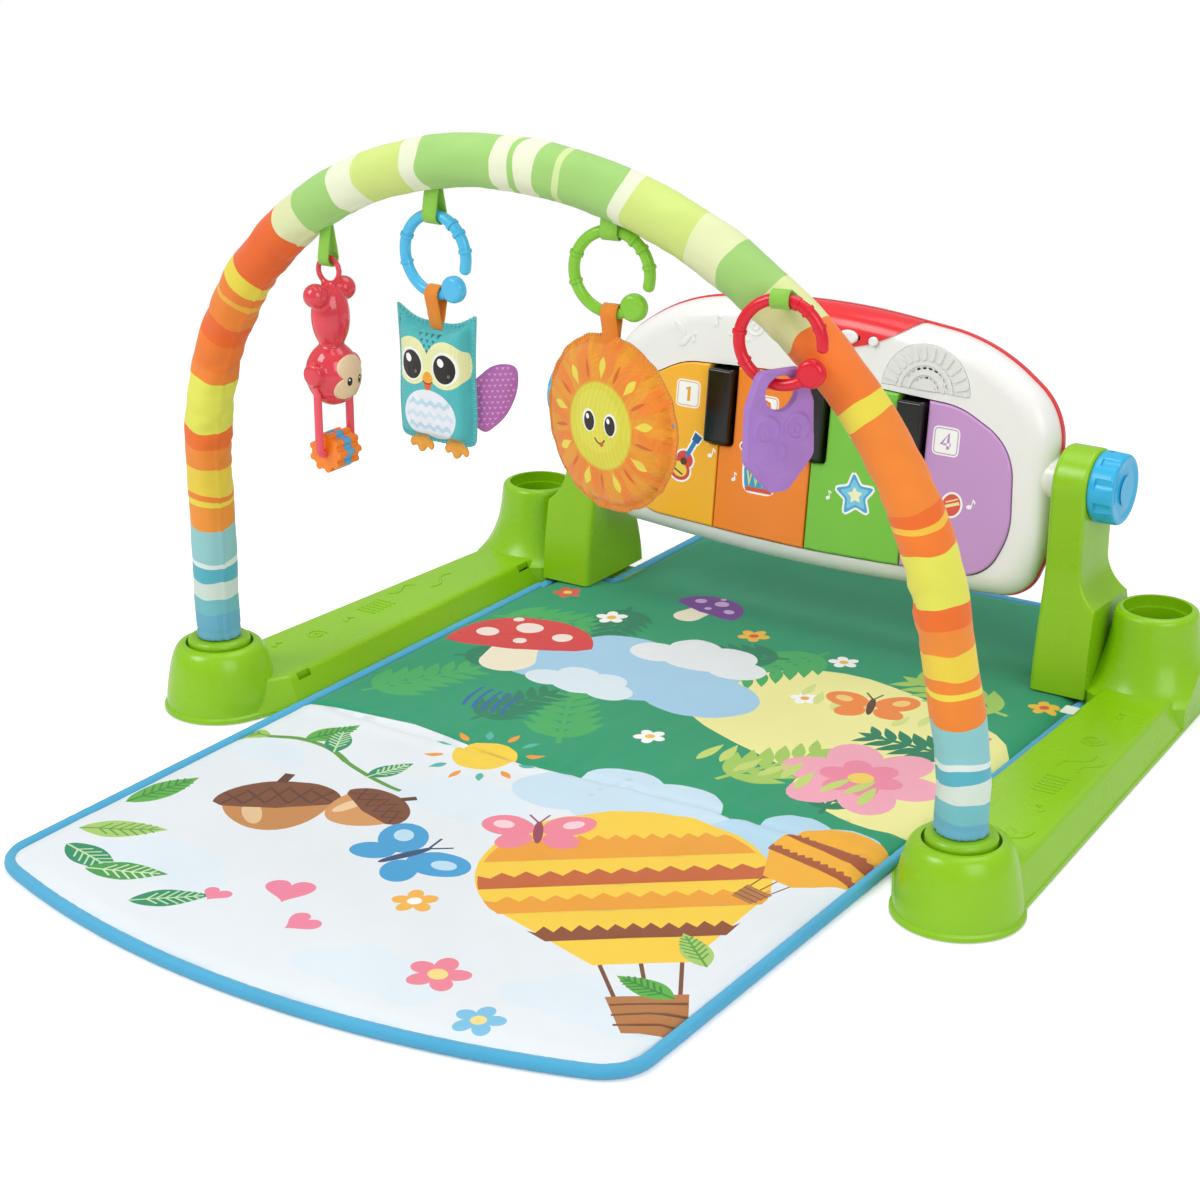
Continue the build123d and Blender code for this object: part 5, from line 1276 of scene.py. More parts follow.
plushTeal = cloth("plushTeal", attribute="panelPrint", pitch=0.0008, rough=0.8, sheen=0.35, tone=0.05,
                  depth=0.0002)
owlBlock = stuffed(cushionBlock(insetOutline(owlOutline, 5.0), owlShape["thickness"], "owlStuffing"),
                   voxel=0.004, pressure=4.5, cap=0.008)
owlPiece = sewnPanels("owlBody", owlOutline, owlMotifs(), owlShape["ground"], owlBlock, owlShape, owlPlace,
                      plushRelief)
bpy.data.objects.remove(owlBlock)
owlPiece.data.materials.append(plushTeal)
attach(owlPiece, "owl")
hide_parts("owl_body")
threadShape = {"pitch": 3.4, "reach": 2.4, "thread": 0.34, "side": 1}
paleThread = cloth("paleTealThread", "#7FD0CF", pitch=0.0006, rough=0.7)
owlStitches = stitchRow("owlStitches", owlOutline, owlPlace, threadShape, paleThread)
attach(owlStitches, "owl")

# wings: two thin pads that sweep back, printed with small scales
wingShape = {"grid": 1.6, "flange": 1.0, "back": "#B25FAE", "ground": "#BE6FBC", "thickness": 4.0}
wingOutline = roundedOutline(((0, 12), (13, 23), (29, 21.5), (29, 4), (21, -14), (7, -25), (0, -20)),
                             (3, 9, 7, 12, 10, 6, 4))


def wingMotifs(side):
    motifs = []
    for row in range(12):
        for column in range(8):
            x = 2.5 + column * 3.6 + (1.8 if row % 2 else 0)
            y = -22 + row * 3.8
            inside = insidePolygon(np.array([(x, y)]), insetOutline(wingOutline, 2.0))[0]
            if inside:
                motifs.append(([(side * (x - 1.2), y + 0.9), (side * x, y - 1.1), (side * (x + 1.2), y + 0.9),
                                (side * x, y + 0.3)], "#E7B7E0"))
    return motifs


for side in (1, -1):
    out, up, forward = owlShape["wingRoot"]
    root = owlPlace[0] + owlPlace[1] * (side * out) + Vector((0, 0, up)) + owlPlace[2] * forward
    place = uprightPlane(root, -2 + side * owlShape["wingTurn"])
    outline = [(side * x, y) for x, y in wingOutline]
    if side < 0:
        outline = outline[::-1]
    block = stuffed(cushionBlock(insetOutline(outline, 2.0), wingShape["thickness"], "wingStuffing"),
                    voxel=0.0022, pressure=2.0, cap=0.0015)
    wing = sewnPanels("owlWing" + ("Right" if side > 0 else "Left"), outline, wingMotifs(side),
                      wingShape["ground"], block, wingShape, place, plushRelief)
    bpy.data.objects.remove(block)
    wing.data.materials.append(cloth("wingPlush" + wing.name, attribute="panelPrint", pitch=0.0008, rough=0.8,
                                     sheen=0.3, tone=0.06))
    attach(wing, "owl")
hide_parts("owl_wings")

# feet: felt pads with three toes
feetShape = {"grid": 1.6, "flange": 0.8, "back": "#E9962B", "ground": "#F0A332", "thickness": 3.0}
for side in (1, -1):
    outline = roundedOutline(((-6, 3), (6, 3), (10.5, -5), (8.5, -9), (4.6, -6.2), (1.5, -10.5),
                              (-2.4, -10.8), (-4.2, -6.4), (-8.6, -8.4), (-10.5, -4.6)),
                             (2, 2, 3, 3, 1.2, 3, 3, 1.2, 3, 3), 3)[::-1]
    outline = [(x + side * 15, y - 43) for x, y in outline]
    block = stuffed(cushionBlock(insetOutline(outline, 1.2), feetShape["thickness"], "footStuffing"),
                    voxel=0.0016, pressure=1.0, cap=0.0008)
    foot = sewnPanels("owlFoot" + ("Right" if side > 0 else "Left"), outline, [], feetShape["ground"], block,
                      feetShape, owlPlace)
    bpy.data.objects.remove(block)
    foot.data.materials.append(cloth("feltOrange" + foot.name, attribute="panelPrint", pitch=0.0007,
                                     rough=0.85, sheen=0.3, tone=0.05))
    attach(foot, "owl")
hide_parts("owl_feet")
print("owl stuffed")

# sun
sunShape = {
    "grid": 1.8,
    "flange": 1.4,
    "back": "#3FA7DC",
    "ground": "#F2931F",
    "radius": 59.0,
    "thickness": 12.0,
}
sunPlace = uprightPlane((78, -48.6, 303.1), -12)
sunOutline = []
for i in range(120):
    a = 2 * math.pi * i / 120
    r = sunShape["radius"] * (1 - 0.012 + 0.012 * math.sin(3 * a + 1.0) + 0.006 * math.sin(17 * a)
                              + 0.004 * math.sin(29 * a + 2))
    sunOutline.append((r * math.cos(a), r * math.sin(a)))


def sunMotifs():
    motifs = []
    for i in range(48):  # cloudy sweeps of deeper and lighter orange, as the dye has
        a = 2 * math.pi * (i + 0.4 * math.sin(i * 5)) / 48
        r = 44 + 8 * math.sin(i * 2.3)
        tone = ("#F58A22", "#F39E1C", "#F0A01E", "#F6861F")[i % 4]
        motifs.append((blob(r * math.cos(a), r * math.sin(a), 12, 3.4, math.degrees(a), count=18), tone))
    for i in range(9):
        a = math.radians(90 + i * 40)
        drop = [(30 + 15 * t, 2.9 * math.sin(math.pi * t**1.5)) for t in np.linspace(0, 1, 12)]
        ring = drop + [(x, -y) for x, y in drop[::-1][1:-1]]
        c, s = math.cos(a), math.sin(a)
        motifs.append(([(x * c - y * s, x * s + y * c) for x, y in ring], "#F3E04A"))
        b = a + math.radians(20)
        slit = leaf(31 * math.cos(b), 31 * math.sin(b), 14, 2.6, math.degrees(b))
        motifs.append((slit, "#E2621B"))
    motifs.append((blob(0, 0, 28.5, 29.5, count=64), "#E8B92A"))
    motifs.append((blob(0, 0, 27.2, 28.2, count=64), "#E3DB3C"))
    motifs.append((blob(-2, 3, 20, 21, count=48), "#E7E04A"))
    for side in (-1, 1):
        motifs.append((blob(side * 9.6, 2.4, 5.9, 7.6, 0, count=32), "#FBFAEE"))
        motifs.append((blob(side * 9.3, 1.9, 4.6, 6.5, 0, count=32), "#17120E"))
        motifs.append((blob(side * 9.3 - 1.5, 4.8, 1.4, 1.8, 15, count=14), "#FFFFFF"))
    motifs.append((stroke(curve((-4.6, -8.4), (0, -14.6), (4.6, -8.4), 12), 1.1), "#3A2412"))
    motifs.append((blob(1.6, -11.9, 1.9, 1.5, 20, count=14), "#D8542B"))
    return motifs


def sunRelief(x, y, reach):
    # pleats that run in from the piping, strongest near the edge
    a = math.atan2(y, x)
    pleat = noise.noise(Vector((math.cos(a) * 6.5, math.sin(a) * 6.5, 3.0)))
    fine = noise.noise(Vector((math.cos(a) * 15, math.sin(a) * 15, 8.0)))
    near = math.exp(-reach / 13)
    return (1.7 * pleat + 0.8 * fine) * near + 0.5 * noise.noise(Vector((x / 26, y / 26, 5)))


sunBlock = stuffed(cushionBlock(insetOutline(sunOutline, 4.0), sunShape["thickness"], "sunStuffing"),
                   voxel=0.005, pressure=4.0, cap=0.006)
sunPiece = sewnPanels("sunCushion", sunOutline, sunMotifs(), sunShape["ground"], sunBlock, sunShape, sunPlace,
                      sunRelief)
bpy.data.objects.remove(sunBlock)
sunPiece.data.materials.append(cloth("sunPlush", attribute="panelPrint", pitch=0.0008, rough=0.75, sheen=0.3,
                                     tone=0.07))
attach(sunPiece, "sun")
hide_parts("sun_cushion")
sunThread = cloth("paleOrangeThread", "#F7B25A", pitch=0.0006, rough=0.7)
sunStitches = stitchRow("sunStitches", sunOutline, sunPlace,
                        {"pitch": 2.6, "reach": 1.6, "thread": 0.3, "side": 1}, sunThread)
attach(sunStitches, "sun")
print("sun stuffed")

# moulded toys: smooth one-piece shells cast over the CAD pieces
def castSkin(names, name, voxel, rounds):
    # one skin over the named CAD pieces, each piece copied and merged first
    pickNone()
    copies = []
    for node in names:
        source = nodes[node]
        copy = source.copy()
        copy.data = source.data.copy()
        copy.animation_data_clear()
        bpy.context.collection.objects.link(copy)
        copies.append(copy)
    pickOnly(copies[0])
    for copy in copies:
        copy.select_set(True)
    if len(copies) > 1:
        bpy.ops.object.join()
    skin = bpy.context.view_layer.objects.active
    skin.name = name
    if skin.parent:
        bpy.ops.object.parent_clear(type="CLEAR_KEEP_TRANSFORM")
    bpy.ops.object.transform_apply(location=True, rotation=True, scale=True)
    skin.data.materials.clear()
    bpy.ops.object.mode_set(mode="EDIT")
    bpy.ops.mesh.select_all(action="SELECT")
    bpy.ops.mesh.remove_doubles(threshold=0.00002)
    bpy.ops.object.mode_set(mode="OBJECT")
    even = skin.modifiers.new("even", "REMESH")
    even.mode = "VOXEL"
    even.voxel_size = voxel
    even.use_smooth_shade = True
    blend = skin.modifiers.new("blend", "SMOOTH")
    blend.factor = 0.5
    blend.iterations = rounds
    applyAll(skin)
    return skin


# teether: soft silicone with raised swirls and a ribbed rim
teetherShape = {"voxel": 0.0008, "rounds": 4, "swirl": 0.9}
teetherPlace = uprightPlane((210.5, -67, 352.9), 60)


def ovalRing(x, y, cx, cy, rx, ry, wide):
    # height of a raised oval line, one at its crest
    r = math.hypot((x - cx) / rx, (y - cy) / ry)
    return math.exp(-(((r - 1) * min(rx, ry)) / wide) ** 2)


def teetherRelief(x, y):
    lift = 0.0
    for side in (-1, 1):
        lift = max(lift, ovalRing(x, y, side * 10.4, -27.5, 8.4, 9.4, 0.9))
        lift = max(lift, 0.8 * ovalRing(x, y, side * 10.4, -27.5, 5.4, 6.4, 0.8))
        lift = max(lift, ovalRing(x, y, side * 10.6, -28.5, 2.2, 2.9, 1.0))
    lift = max(lift, ovalRing(x, y, 0, -41.5, 3.4, 4.2, 0.9))
    if y < -46:
        lift = max(lift, 0.55 * (0.5 + 0.5 * math.cos((math.hypot(x, y + 30) - 18) * 1.65)))
    if y > -12 and abs(x) > 13:
        lift = max(lift, 0.5 * (0.5 + 0.5 * math.cos(y * 1.9)))
    return lift


teether = castSkin(["teether"], "teetherSoft", teetherShape["voxel"], teetherShape["rounds"])
origin, right, front = teetherPlace
spots = np.array([v.co[:] for v in teether.data.vertices]) / mm - np.array(origin[:])
normals = np.array([v.normal[:] for v in teether.data.vertices])
across, upward = spots @ np.array(right[:]), spots[:, 2]
facing = normals @ np.array(front[:])
lift = np.array([teetherRelief(x, y) for x, y in zip(across, upward)]) * teetherShape["swirl"]
lift = lift * np.clip((np.abs(facing) - 0.75) / 0.2, 0, 1) - 0.25 * np.clip(np.abs(facing), 0, 1)
moved = np.array([v.co[:] for v in teether.data.vertices]) + normals * (lift * 0.6 * mm)[:, None]
teether.data.vertices.foreach_set("co", moved.astype(np.float32).ravel())
teether.data.update()


def silicone(name, code):
    material, tree, shader = newMaterial(name, Roughness=0.46, Subsurface_Weight=0.18, Subsurface_Scale=0.004,
                                         Specular_IOR_Level=0.45)
    coords = addNode(tree, "TexCoord", (-1200, 0))
    shader.inputs["Base Color"].default_value = hexToLinear(code)
    tone = shiftedColour(tree, hexToLinear(code), 90, 0.05, coords.outputs["Object"])
    tree.links.new(tone, shader.inputs["Base Color"])
    return material


teether.data.materials.append(silicone("lilacSilicone", "#A87DCB"))
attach(teether, "teether")
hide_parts("teether")

# rattle: glossy see-through red shell, blended where head, body and tail meet
def clearPlastic(name, code, gloss, through):
    material, tree, shader = newMaterial(name, Roughness=gloss, Transmission_Weight=through, IOR=1.46,
                                         Coat_Weight=0.5, Coat_Roughness=0.06)
    coords = addNode(tree, "TexCoord", (-1200, 0))
    tone = shiftedColour(tree, hexToLinear(code), 60, 0.06, coords.outputs["Object"])
    tree.links.new(tone, shader.inputs["Base Color"])
    return material


rattleShape = {"shellVoxel": 0.0011, "shellRounds": 14, "armVoxel": 0.0009, "armRounds": 6}
rattle = castSkin(["rattle_body"], "rattleShell", rattleShape["shellVoxel"], rattleShape["shellRounds"])
rattle.data.materials.append(clearPlastic("cherryShell", "#F03F50", 0.14, 0.16))
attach(rattle, "rattle")
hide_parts("rattle_body")
rattleArm = castSkin(["rattle_arm_loop"], "rattleArms", rattleShape["armVoxel"], rattleShape["armRounds"])
rattleArm.data.materials.append(mouldedPlastic("cherryArms", "#F05566", 0.3, 0.03))
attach(rattleArm, "rattle")
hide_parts("rattle_arm_loop")
print("teether and rattle cast")

# key stickers, raised marks and the like, laid on the moulded faces
panelLean = math.atan(0.12)


def panelPoint(x, v, w):
    # a place on the panel: across, up its lean, out of its front
    return Vector((x, 388 + v * math.sin(panelLean) - w * math.cos(panelLean),
                   172 + v * math.cos(panelLean) + w * math.sin(panelLean))) * mm


def layFlat(name, rings, place, lift, base=-0.4):
    # overlapping flat shapes cut from one sheet, from the base up to the lift
    # later rings lie on earlier ones
    outer = rings[0][0]
    points = [Vector(p) for p in outer]
    edges = [(i, (i + 1) % len(outer)) for i in range(len(outer))]
    for ring, _ in rings[1:]:
        start = len(points)
        points += [Vector(p) for p in ring]
        edges += [(start + i, start + (i + 1) % len(ring)) for i in range(len(ring))]
    verts, _, faces, *_ = delaunay_2d_cdt(points, edges, [], 0, 1e-4)
    flat = np.array([v[:] for v in verts])
    tris = np.array([f for f in faces if len(f) == 3])
    middle = flat[tris].mean(axis=1)
    keep = insidePolygon(middle, outer)
    tris, middle = tris[keep], middle[keep]
    paint = np.tile(np.array(hexToLinear(rings[0][1])), (len(tris), 1))
    for ring, colour in rings[1:]:
        paint[insidePolygon(middle, ring)] = hexToLinear(colour)
    count = len(flat)
    coords = [place(x, y, lift) for x, y in flat] + [place(x, y, base) for x, y in flat]
    triangles = [tuple(int(i) for i in t) for t in tris]
    once = {(a, b) for t in triangles for a, b in zip(t, t[1:] + t[:1])}
    rim = [(a, b) for a, b in once if (b, a) not in once]
    faceList = triangles + [(c + count, b + count, a + count) for a, b, c in triangles]
    faceList += [(b, a, a + count, b + count) for a, b in rim]
    mesh = bpy.data.meshes.new(name)
    mesh.from_pydata(coords, [], faceList)
    layer = mesh.color_attributes.new("stickerPrint", "FLOAT_COLOR", "CORNER")
    values = np.tile(np.array(hexToLinear(rings[0][1])), (len(mesh.loops), 1))
    values[: len(triangles) * 3] = np.repeat(paint, 3, axis=0)
    layer.data.foreach_set("color", values.astype(np.float32).ravel())
    bm = bmesh.new()
    bm.from_mesh(mesh)
    bmesh.ops.recalc_face_normals(bm, faces=bm.faces)
    bm.to_mesh(mesh)
    bm.free()
    piece = bpy.data.objects.new(name, mesh)
    bpy.context.collection.objects.link(piece)
    return piece


def stickerFilm(name):
    # printed vinyl under a clear film
    material, tree, shader = newMaterial(name, Roughness=0.28, Coat_Weight=0.3, Coat_Roughness=0.1)
    ink = addNode(tree, "VertexColor", (-700, 300), {"layer_name": "stickerPrint"}).outputs[0]
    coords = addNode(tree, "TexCoord", (-1100, 0)).outputs["Object"]
    tree.links.new(shiftedColour(tree, ink, 60.0, 0.02, coords), shader.inputs["Base Color"])
    return material


def grown(ring, amount):
    # outline swollen by an amount, for the white border of a sticker
    return insetOutline(ring, -amount)


def turned(ring, x, y, turn=0, size=1.0):
    c, s = math.cos(math.radians(turn)) * size, math.sin(math.radians(turn)) * size
    return [(x + a * c - b * s, y + a * s + b * c) for a, b in ring]


def starRing(points=5, outer=1.0, inner=0.45):
    ring = []
    for i in range(points * 2):
        a = math.pi / 2 + math.pi * i / points
        r = outer if i % 2 == 0 else inner
        ring.append((r * math.cos(a), r * math.sin(a)))
    return roundedOutline(ring, [0.22 * outer if i % 2 == 0 else 0.12 * outer for i in range(points * 2)], 3)


def noteRings(x, y, size, turn=0):
    # a quaver
    head = turned(blob(0, 0, 1.0, 0.75, 20, count=18), x, y, turn, size)
    stem = turned([(0.62, 0.1), (0.95, 0.1), (0.95, 3.0), (0.62, 3.0)], x, y, turn, size)
    flag = turned([(0.62, 3.0), (0.95, 3.0), (1.9, 2.3), (1.8, 1.5), (1.3, 2.0), (0.8, 2.2)],
                  x, y, turn, size)
    return [head, stem, flag]


digitStrokes = {
    1: [[(-1.2, 2.2), (0.4, 3.6), (0.4, -3.8)]],
    2: [[(-2.2, 1.9), (-1.6, 3.2), (0, 3.8), (1.7, 3.1), (2.0, 1.6), (1.2, -0.2), (-2.2, -3.6), (2.4, -3.6)]],
    3: [[(-2.0, 2.6), (-0.6, 3.8), (1.4, 3.4), (1.9, 1.8), (0.8, 0.4), (-0.4, 0.2)],
        [(-0.4, 0.2), (1.4, -0.2), (2.3, -1.6), (1.6, -3.3), (-0.4, -3.9), (-2.2, -2.8)]],
    4: [[(1.2, -3.8), (1.2, 3.8), (-2.4, -1.4), (2.6, -1.4)]],
}


def digitRings(number, x, y, size, wide):
    return [turned(stroke(line, wide / size), x, y, 0, size) for line in digitStrokes[number]]


keyPrints = {
    # place of the number, motif, its place, ink of the number
    1: {"digit": (-118, 20), "motif": "guitar", "at": (-117, -36), "ink": "#F2A41F"},
    2: {"digit": (-44, 18), "motif": "drum", "at": (-45, -38), "ink": "#F07F17"},
    3: {"digit": (44, 18), "motif": "star", "at": (43, -38), "ink": "#6DB935"},
    4: {"digit": (117, 18), "motif": "maraca", "at": (118, -38), "ink": "#C08CC8"},
}


def motifRings(kind, x, y):
    # white border first, then the colours on it
    rings = []
    if kind == "guitar":
        body = blob(0, -9, 10.5, 9, 0, count=30)
        top = blob(0, 1, 8, 7, 0, count=26)
        neck = [(-2, 4), (2, 4), (2, 20), (-2, 20)]
        head = [(-3.4, 19), (3.4, 19), (4, 26), (-4, 26)]
        for ring, grow in ((body, 1.6), (top, 1.6), (neck, 1.6), (head, 1.6)):
            rings.append((turned(grown(ring, grow), x, y, -28), "#FDFDFA"))
        rings += [(turned(body, x, y, -28), "#D9403A"), (turned(top, x, y, -28), "#D9403A"),
                  (turned(blob(0, -9, 7.5, 6.2, 0, count=24), x, y, -28), "#F3D24A"),
                  (turned(blob(0, -1, 3.2, 3.2, 0, count=18), x, y, -28), "#5B2A1C"),
                  (turned(neck, x, y, -28), "#2C7FB8"), (turned(head, x, y, -28), "#1F5E96")]
        rings += [(turned([(-5, -12), (5, -12), (5, -10.6), (-5, -10.6)], x, y, -28), "#5B2A1C")]
    elif kind == "drum":
        body = roundedOutline([(-15, 8), (-13, -13), (13, -13), (15, 8)], (4, 6, 6, 4), 4)
        lid = blob(0, 9, 15, 5.2, 0, count=32)
        rings += [(turned(grown(body, 1.8), x, y), "#FDFDFA"), (turned(grown(lid, 1.8), x, y), "#FDFDFA")]
        for side in (-1, 1):
            stick = stroke([(side * 6, 10), (side * 17, 23)], 2.2)
            rings += [(turned(grown(stick, 1.4), x, y), "#FDFDFA"),
                      (turned(blob(side * 17, 23, 3.9, 3.9, 0, count=16), x, y), "#FDFDFA")]
        rings += [(turned(body, x, y), "#2F9CCB")]
        for i in range(4):
            left = -12 + i * 6.2
            rings.append((turned([(left, 4), (left + 2.8, -9), (left + 5.8, 4), (left + 4.2, 4),
                                  (left + 2.8, -5), (left + 1.4, 4)], x, y), "#F6E25A"))
        rings += [(turned([(-13, -9.5), (13, -9.5), (12, -13), (-12, -13)], x, y), "#E2472F"),
                  (turned(lid, x, y), "#F4EBD8"), (turned(blob(0, 9, 12, 3.6, 0, count=28), x, y), "#E9D9BA")]
        for side in (-1, 1):
            rings += [(turned(stroke([(side * 6, 10), (side * 17, 23)], 2.0), x, y), "#A8642F"),
                      (turned(blob(side * 17, 23, 2.6, 2.6, 0, count=16), x, y), "#D9403A")]
    elif kind == "star":
        ring = starRing(5, 19, 9.2)
        rings += [(turned(grown(ring, 1.8), x, y, 8), "#FDFDFA"), (turned(ring, x, y, 8), "#3FA9DC"),
                  (turned(starRing(5, 14.5, 7.2), x, y, 8), "#7CCBEC")]
        rings.append((turned(starRing(5, 7.5, 3.7), x, y, 8), "#F4F7C8"))
    else:
        for side in (-1, 1):
            bulb = blob(side * 9, 7, 7.6, 9.0, side * -20, count=28)
            stick = stroke([(side * 6.2, -1), (side * 1.5, -17)], 2.6)
            rings += [(turned(grown(bulb, 1.7), x, y), "#FDFDFA"),
                      (turned(grown(stick, 1.5), x, y), "#FDFDFA")]
        for side, tone, band in ((-1, "#22977E", "#F3D24A"), (1, "#E5523B", "#F7E7A0")):
            rings += [(turned(blob(side * 9, 7, 7.6, 9.0, side * -20, count=28), x, y), tone),
                      (turned(stroke([(side * 9 - 6.5, 7 - side * 2.4), (side * 9 + 6.5, 7 + side * 2.4)],
                                     2.4), x, y), band),
                      (turned(stroke([(side * 9 - 5, 10.6 - side * 2), (side * 9 + 5, 10.6 + side * 2)], 1.1),
                              x, y), band),
                      (turned(stroke([(side * 6.2, -1), (side * 1.5, -17)], 2.4), x, y), "#5B3A29")]
    return rings


def joined(pieces, name):
    # several flat pieces made one object
    pickOnly(pieces[0])
    for piece in pieces[1:]:
        piece.select_set(True)
    if len(pieces) > 1:
        bpy.ops.object.join()
    whole = bpy.context.view_layer.objects.active
    whole.name = name
    whole.data.name = name
    return whole


film = stickerFilm("keyStickerFilm")
keyTop = 24.6  # the keys' faces stand this far out of the panel's middle plane, millimetres
filmBase = keyTop - 0.3
for number, facts in keyPrints.items():
    x, v = facts["digit"]
    badge = roundedOutline([(-11.5, -11.5), (11.5, -11.5), (11.5, 11.5), (-11.5, 11.5)], (5, 5, 5, 5), 5)
    rings = [(turned(badge, x, v), "#FBFBF8"), (turned(insetOutline(badge, 1.2), x, v), facts["ink"]),
             (turned(insetOutline(badge, 2.0), x, v), "#FBFBF8")]
    pieces = [layFlat("keyNumber", rings, panelPoint, keyTop + 0.06, filmBase)]
    for layer, ring in enumerate(digitRings(number, x, v, 1.62, 2.9)):
        pieces.append(layFlat("keyDigit", [(ring, facts["ink"])], panelPoint, keyTop + 0.075 + 0.01 * layer,
                              filmBase))
    # the motif's parts overlap, so each colour is its own thin layer
    for layer, (ring, colour) in enumerate(motifRings(facts["motif"], *facts["at"])):
        pieces.append(layFlat("keyMotif", [(ring, colour)], panelPoint, keyTop + 0.06 + 0.012 * layer,
                              filmBase))
    mx, mv = facts["at"]
    for side, size, turn in ((-1, 2.0, 12), (1, 2.3, -10)):
        for layer, ring in enumerate(noteRings(mx + side * 24, mv + (-6 if side < 0 else 8), size, turn)):
            pieces.append(layFlat("keyNote", [(ring, "#FBFBF8")], panelPoint,
                                  keyTop + 0.06 + 0.01 * layer, filmBase))
    sticker = joined(pieces, f"keyStickers{number}")
    sticker.data.materials.clear()
    sticker.data.materials.append(film)
    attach(sticker, f"key_{number}")
print("stickers pressed on")

# raised marks moulded into the shell and the rails


def spiralLine(radius, turns, count=40):
    return [(radius * (i / count) * math.cos(2 * math.pi * turns * i / count),
             radius * (i / count) * math.sin(2 * math.pi * turns * i / count)) for i in range(4, count + 1)]


def waveLine(length, rise, count=16):
    return [(length * (i / count - 0.5), rise * math.sin(2 * math.pi * i / count)) for i in range(count + 1)]


def raised(name, rings, place, lift, material):
    pieces = [layFlat(name, [(ring, "#FFFFFF")], place, lift + 0.004 * i) for i, ring in enumerate(rings)]
    whole = joined(pieces, name)
    whole.data.materials.clear()
    whole.data.materials.append(material)
    rounder = whole.modifiers.new("soft edge", "BEVEL")
    rounder.width = 0.35 * mm
    rounder.segments = 2
    rounder.limit_method = "ANGLE"
    rounder.angle_limit = math.radians(50)
    applyAll(whole)
    smooth(whole, 50)
    return whole


shellMarks = [turned(stroke(spiralLine(9.5, 2.1), 1.7), -62, 84, 20)]
for x, v, size, turn in ((-98, 82, 2.6, 8), (-44, 88, 2.2, -8), (-118, 66, 2.2, 20)):
    shellMarks += noteRings(x, v - 2, size, turn)
for i in range(3):
    shellMarks.append(turned(leaf(0, 0, 15, 6, 40 + i * 50), -132 + i * 3, 58 + i * 5))
for i in range(5):
    shellMarks.append(turned(blob(0, 0, 1.7, 1.7, count=14), -84 + i * 4.2, 68 + 4.5 * math.sin(i * 1.4) + 6))
shellRelief = raised("shellRelief", shellMarks, panelPoint, 22.7, shellWhite)
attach(shellRelief, "panel")


def railPlace(side, height):
    def place(x, y, lift):
        return Vector((side * x, y, height + lift)) * mm
    return place


railMarks = {
    "right": [turned(stroke(spiralLine(10, 2.0), 1.8), 300, 250, 40),
              turned(stroke(waveLine(34, 4), 1.8), 305, 210, 60),
              turned(stroke(waveLine(30, 4), 1.8), 318, 206, 75)]
             + noteRings(300, 300, 3.0, 30) + noteRings(318, 120, 3.0, 60)
             + [turned(stroke([(-9, 0), (9, 0)], 1.7), 306, 150 + i * 5.4) for i in range(6)]
             + [turned(leaf(0, 0, 18, 7, 60 + i * 60), 320, 70) for i in range(3)],
    "left": [turned(stroke(spiralLine(9, 1.8), 1.8), 306, 104, 200),
             turned(stroke(waveLine(38, 4), 1.8), 300, 262, 80),
             turned(stroke(waveLine(30, 4), 1.8), 314, 226, 100)]
            + noteRings(306, 142, 3.0, 20) + noteRings(318, 66, 3.0, 20)
            + [turned(stroke([(-9, 0), (9, 0)], 1.7), 306, 168 + i * 5.4) for i in range(6)],
}
for side, sign in (("right", 1), ("left", -1)):
    marks = raised(side + "RailRelief", railMarks[side], railPlace(sign, 25.9), 0.75, railGreen)
    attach(marks, "base")

# woven tab that pins the mat to the right rail
tabRing = roundedOutline([(-5.6, -6.6), (5.6, -6.6), (5.6, 6.6), (-5.6, 6.6)], (1.2, 1.2, 1.2, 1.2), 3)


def tabPlace(x, y, lift):
    curl = 0.35 * math.sin(y / 4) + 0.2 * math.cos(x / 3)
    return Vector((264 + x, 292 + y, 26.6 + (lift if lift > 0 else -0.1) + (curl if lift > 0 else 0))) * mm


tab = joined([layFlat("matTab", [(tabRing, "#E9EFE0")], tabPlace, 0.5)], "matTab")
tab.data.materials.clear()
tab.data.materials.append(cloth("tabWebbing", "#E6ECDD", pitch=0.0012, rough=0.8, sheen=0.2))
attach(tab, "base")
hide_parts("mat_tab")
print("raised marks moulded")

# eyes printed on the rattle's face plate
eyeShape = {"side": 5.2, "height": 298.0, "across": 2.1, "tall": 3.1, "thick": 0.35}
eyeInk = mouldedPlastic("eyeInk", "#14110E", gloss=0.12, tone=0.0)
eyeGlint = mouldedPlastic("eyeGlint", "#FFFFFF", gloss=0.2, tone=0.0)


def eyeSpot(name, tree, y, z, across, tall, finish, lift):
    # flat oval seated square on the curved plate
    hit, normal, *_ = tree.ray_cast(Vector((0, y * mm, z * mm)), Vector((-1, 0, 0)))
    pickNone()
    bpy.ops.mesh.primitive_uv_sphere_add(segments=28, ring_count=14, radius=1)
    spot = bpy.context.object
    spot.name = name
    turn = normal.to_track_quat("Z", "Y").to_matrix().to_4x4()
    size = Matrix.Diagonal((across * mm, tall * mm, eyeShape["thick"] * mm, 1))
    spot.data.transform(Matrix.Translation(hit + normal * lift * mm) @ turn @ size)
    spot.data.polygons.foreach_set("use_smooth", [True] * len(spot.data.polygons))
    spot.data.materials.append(finish)
    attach(spot, "rattle")
    return spot


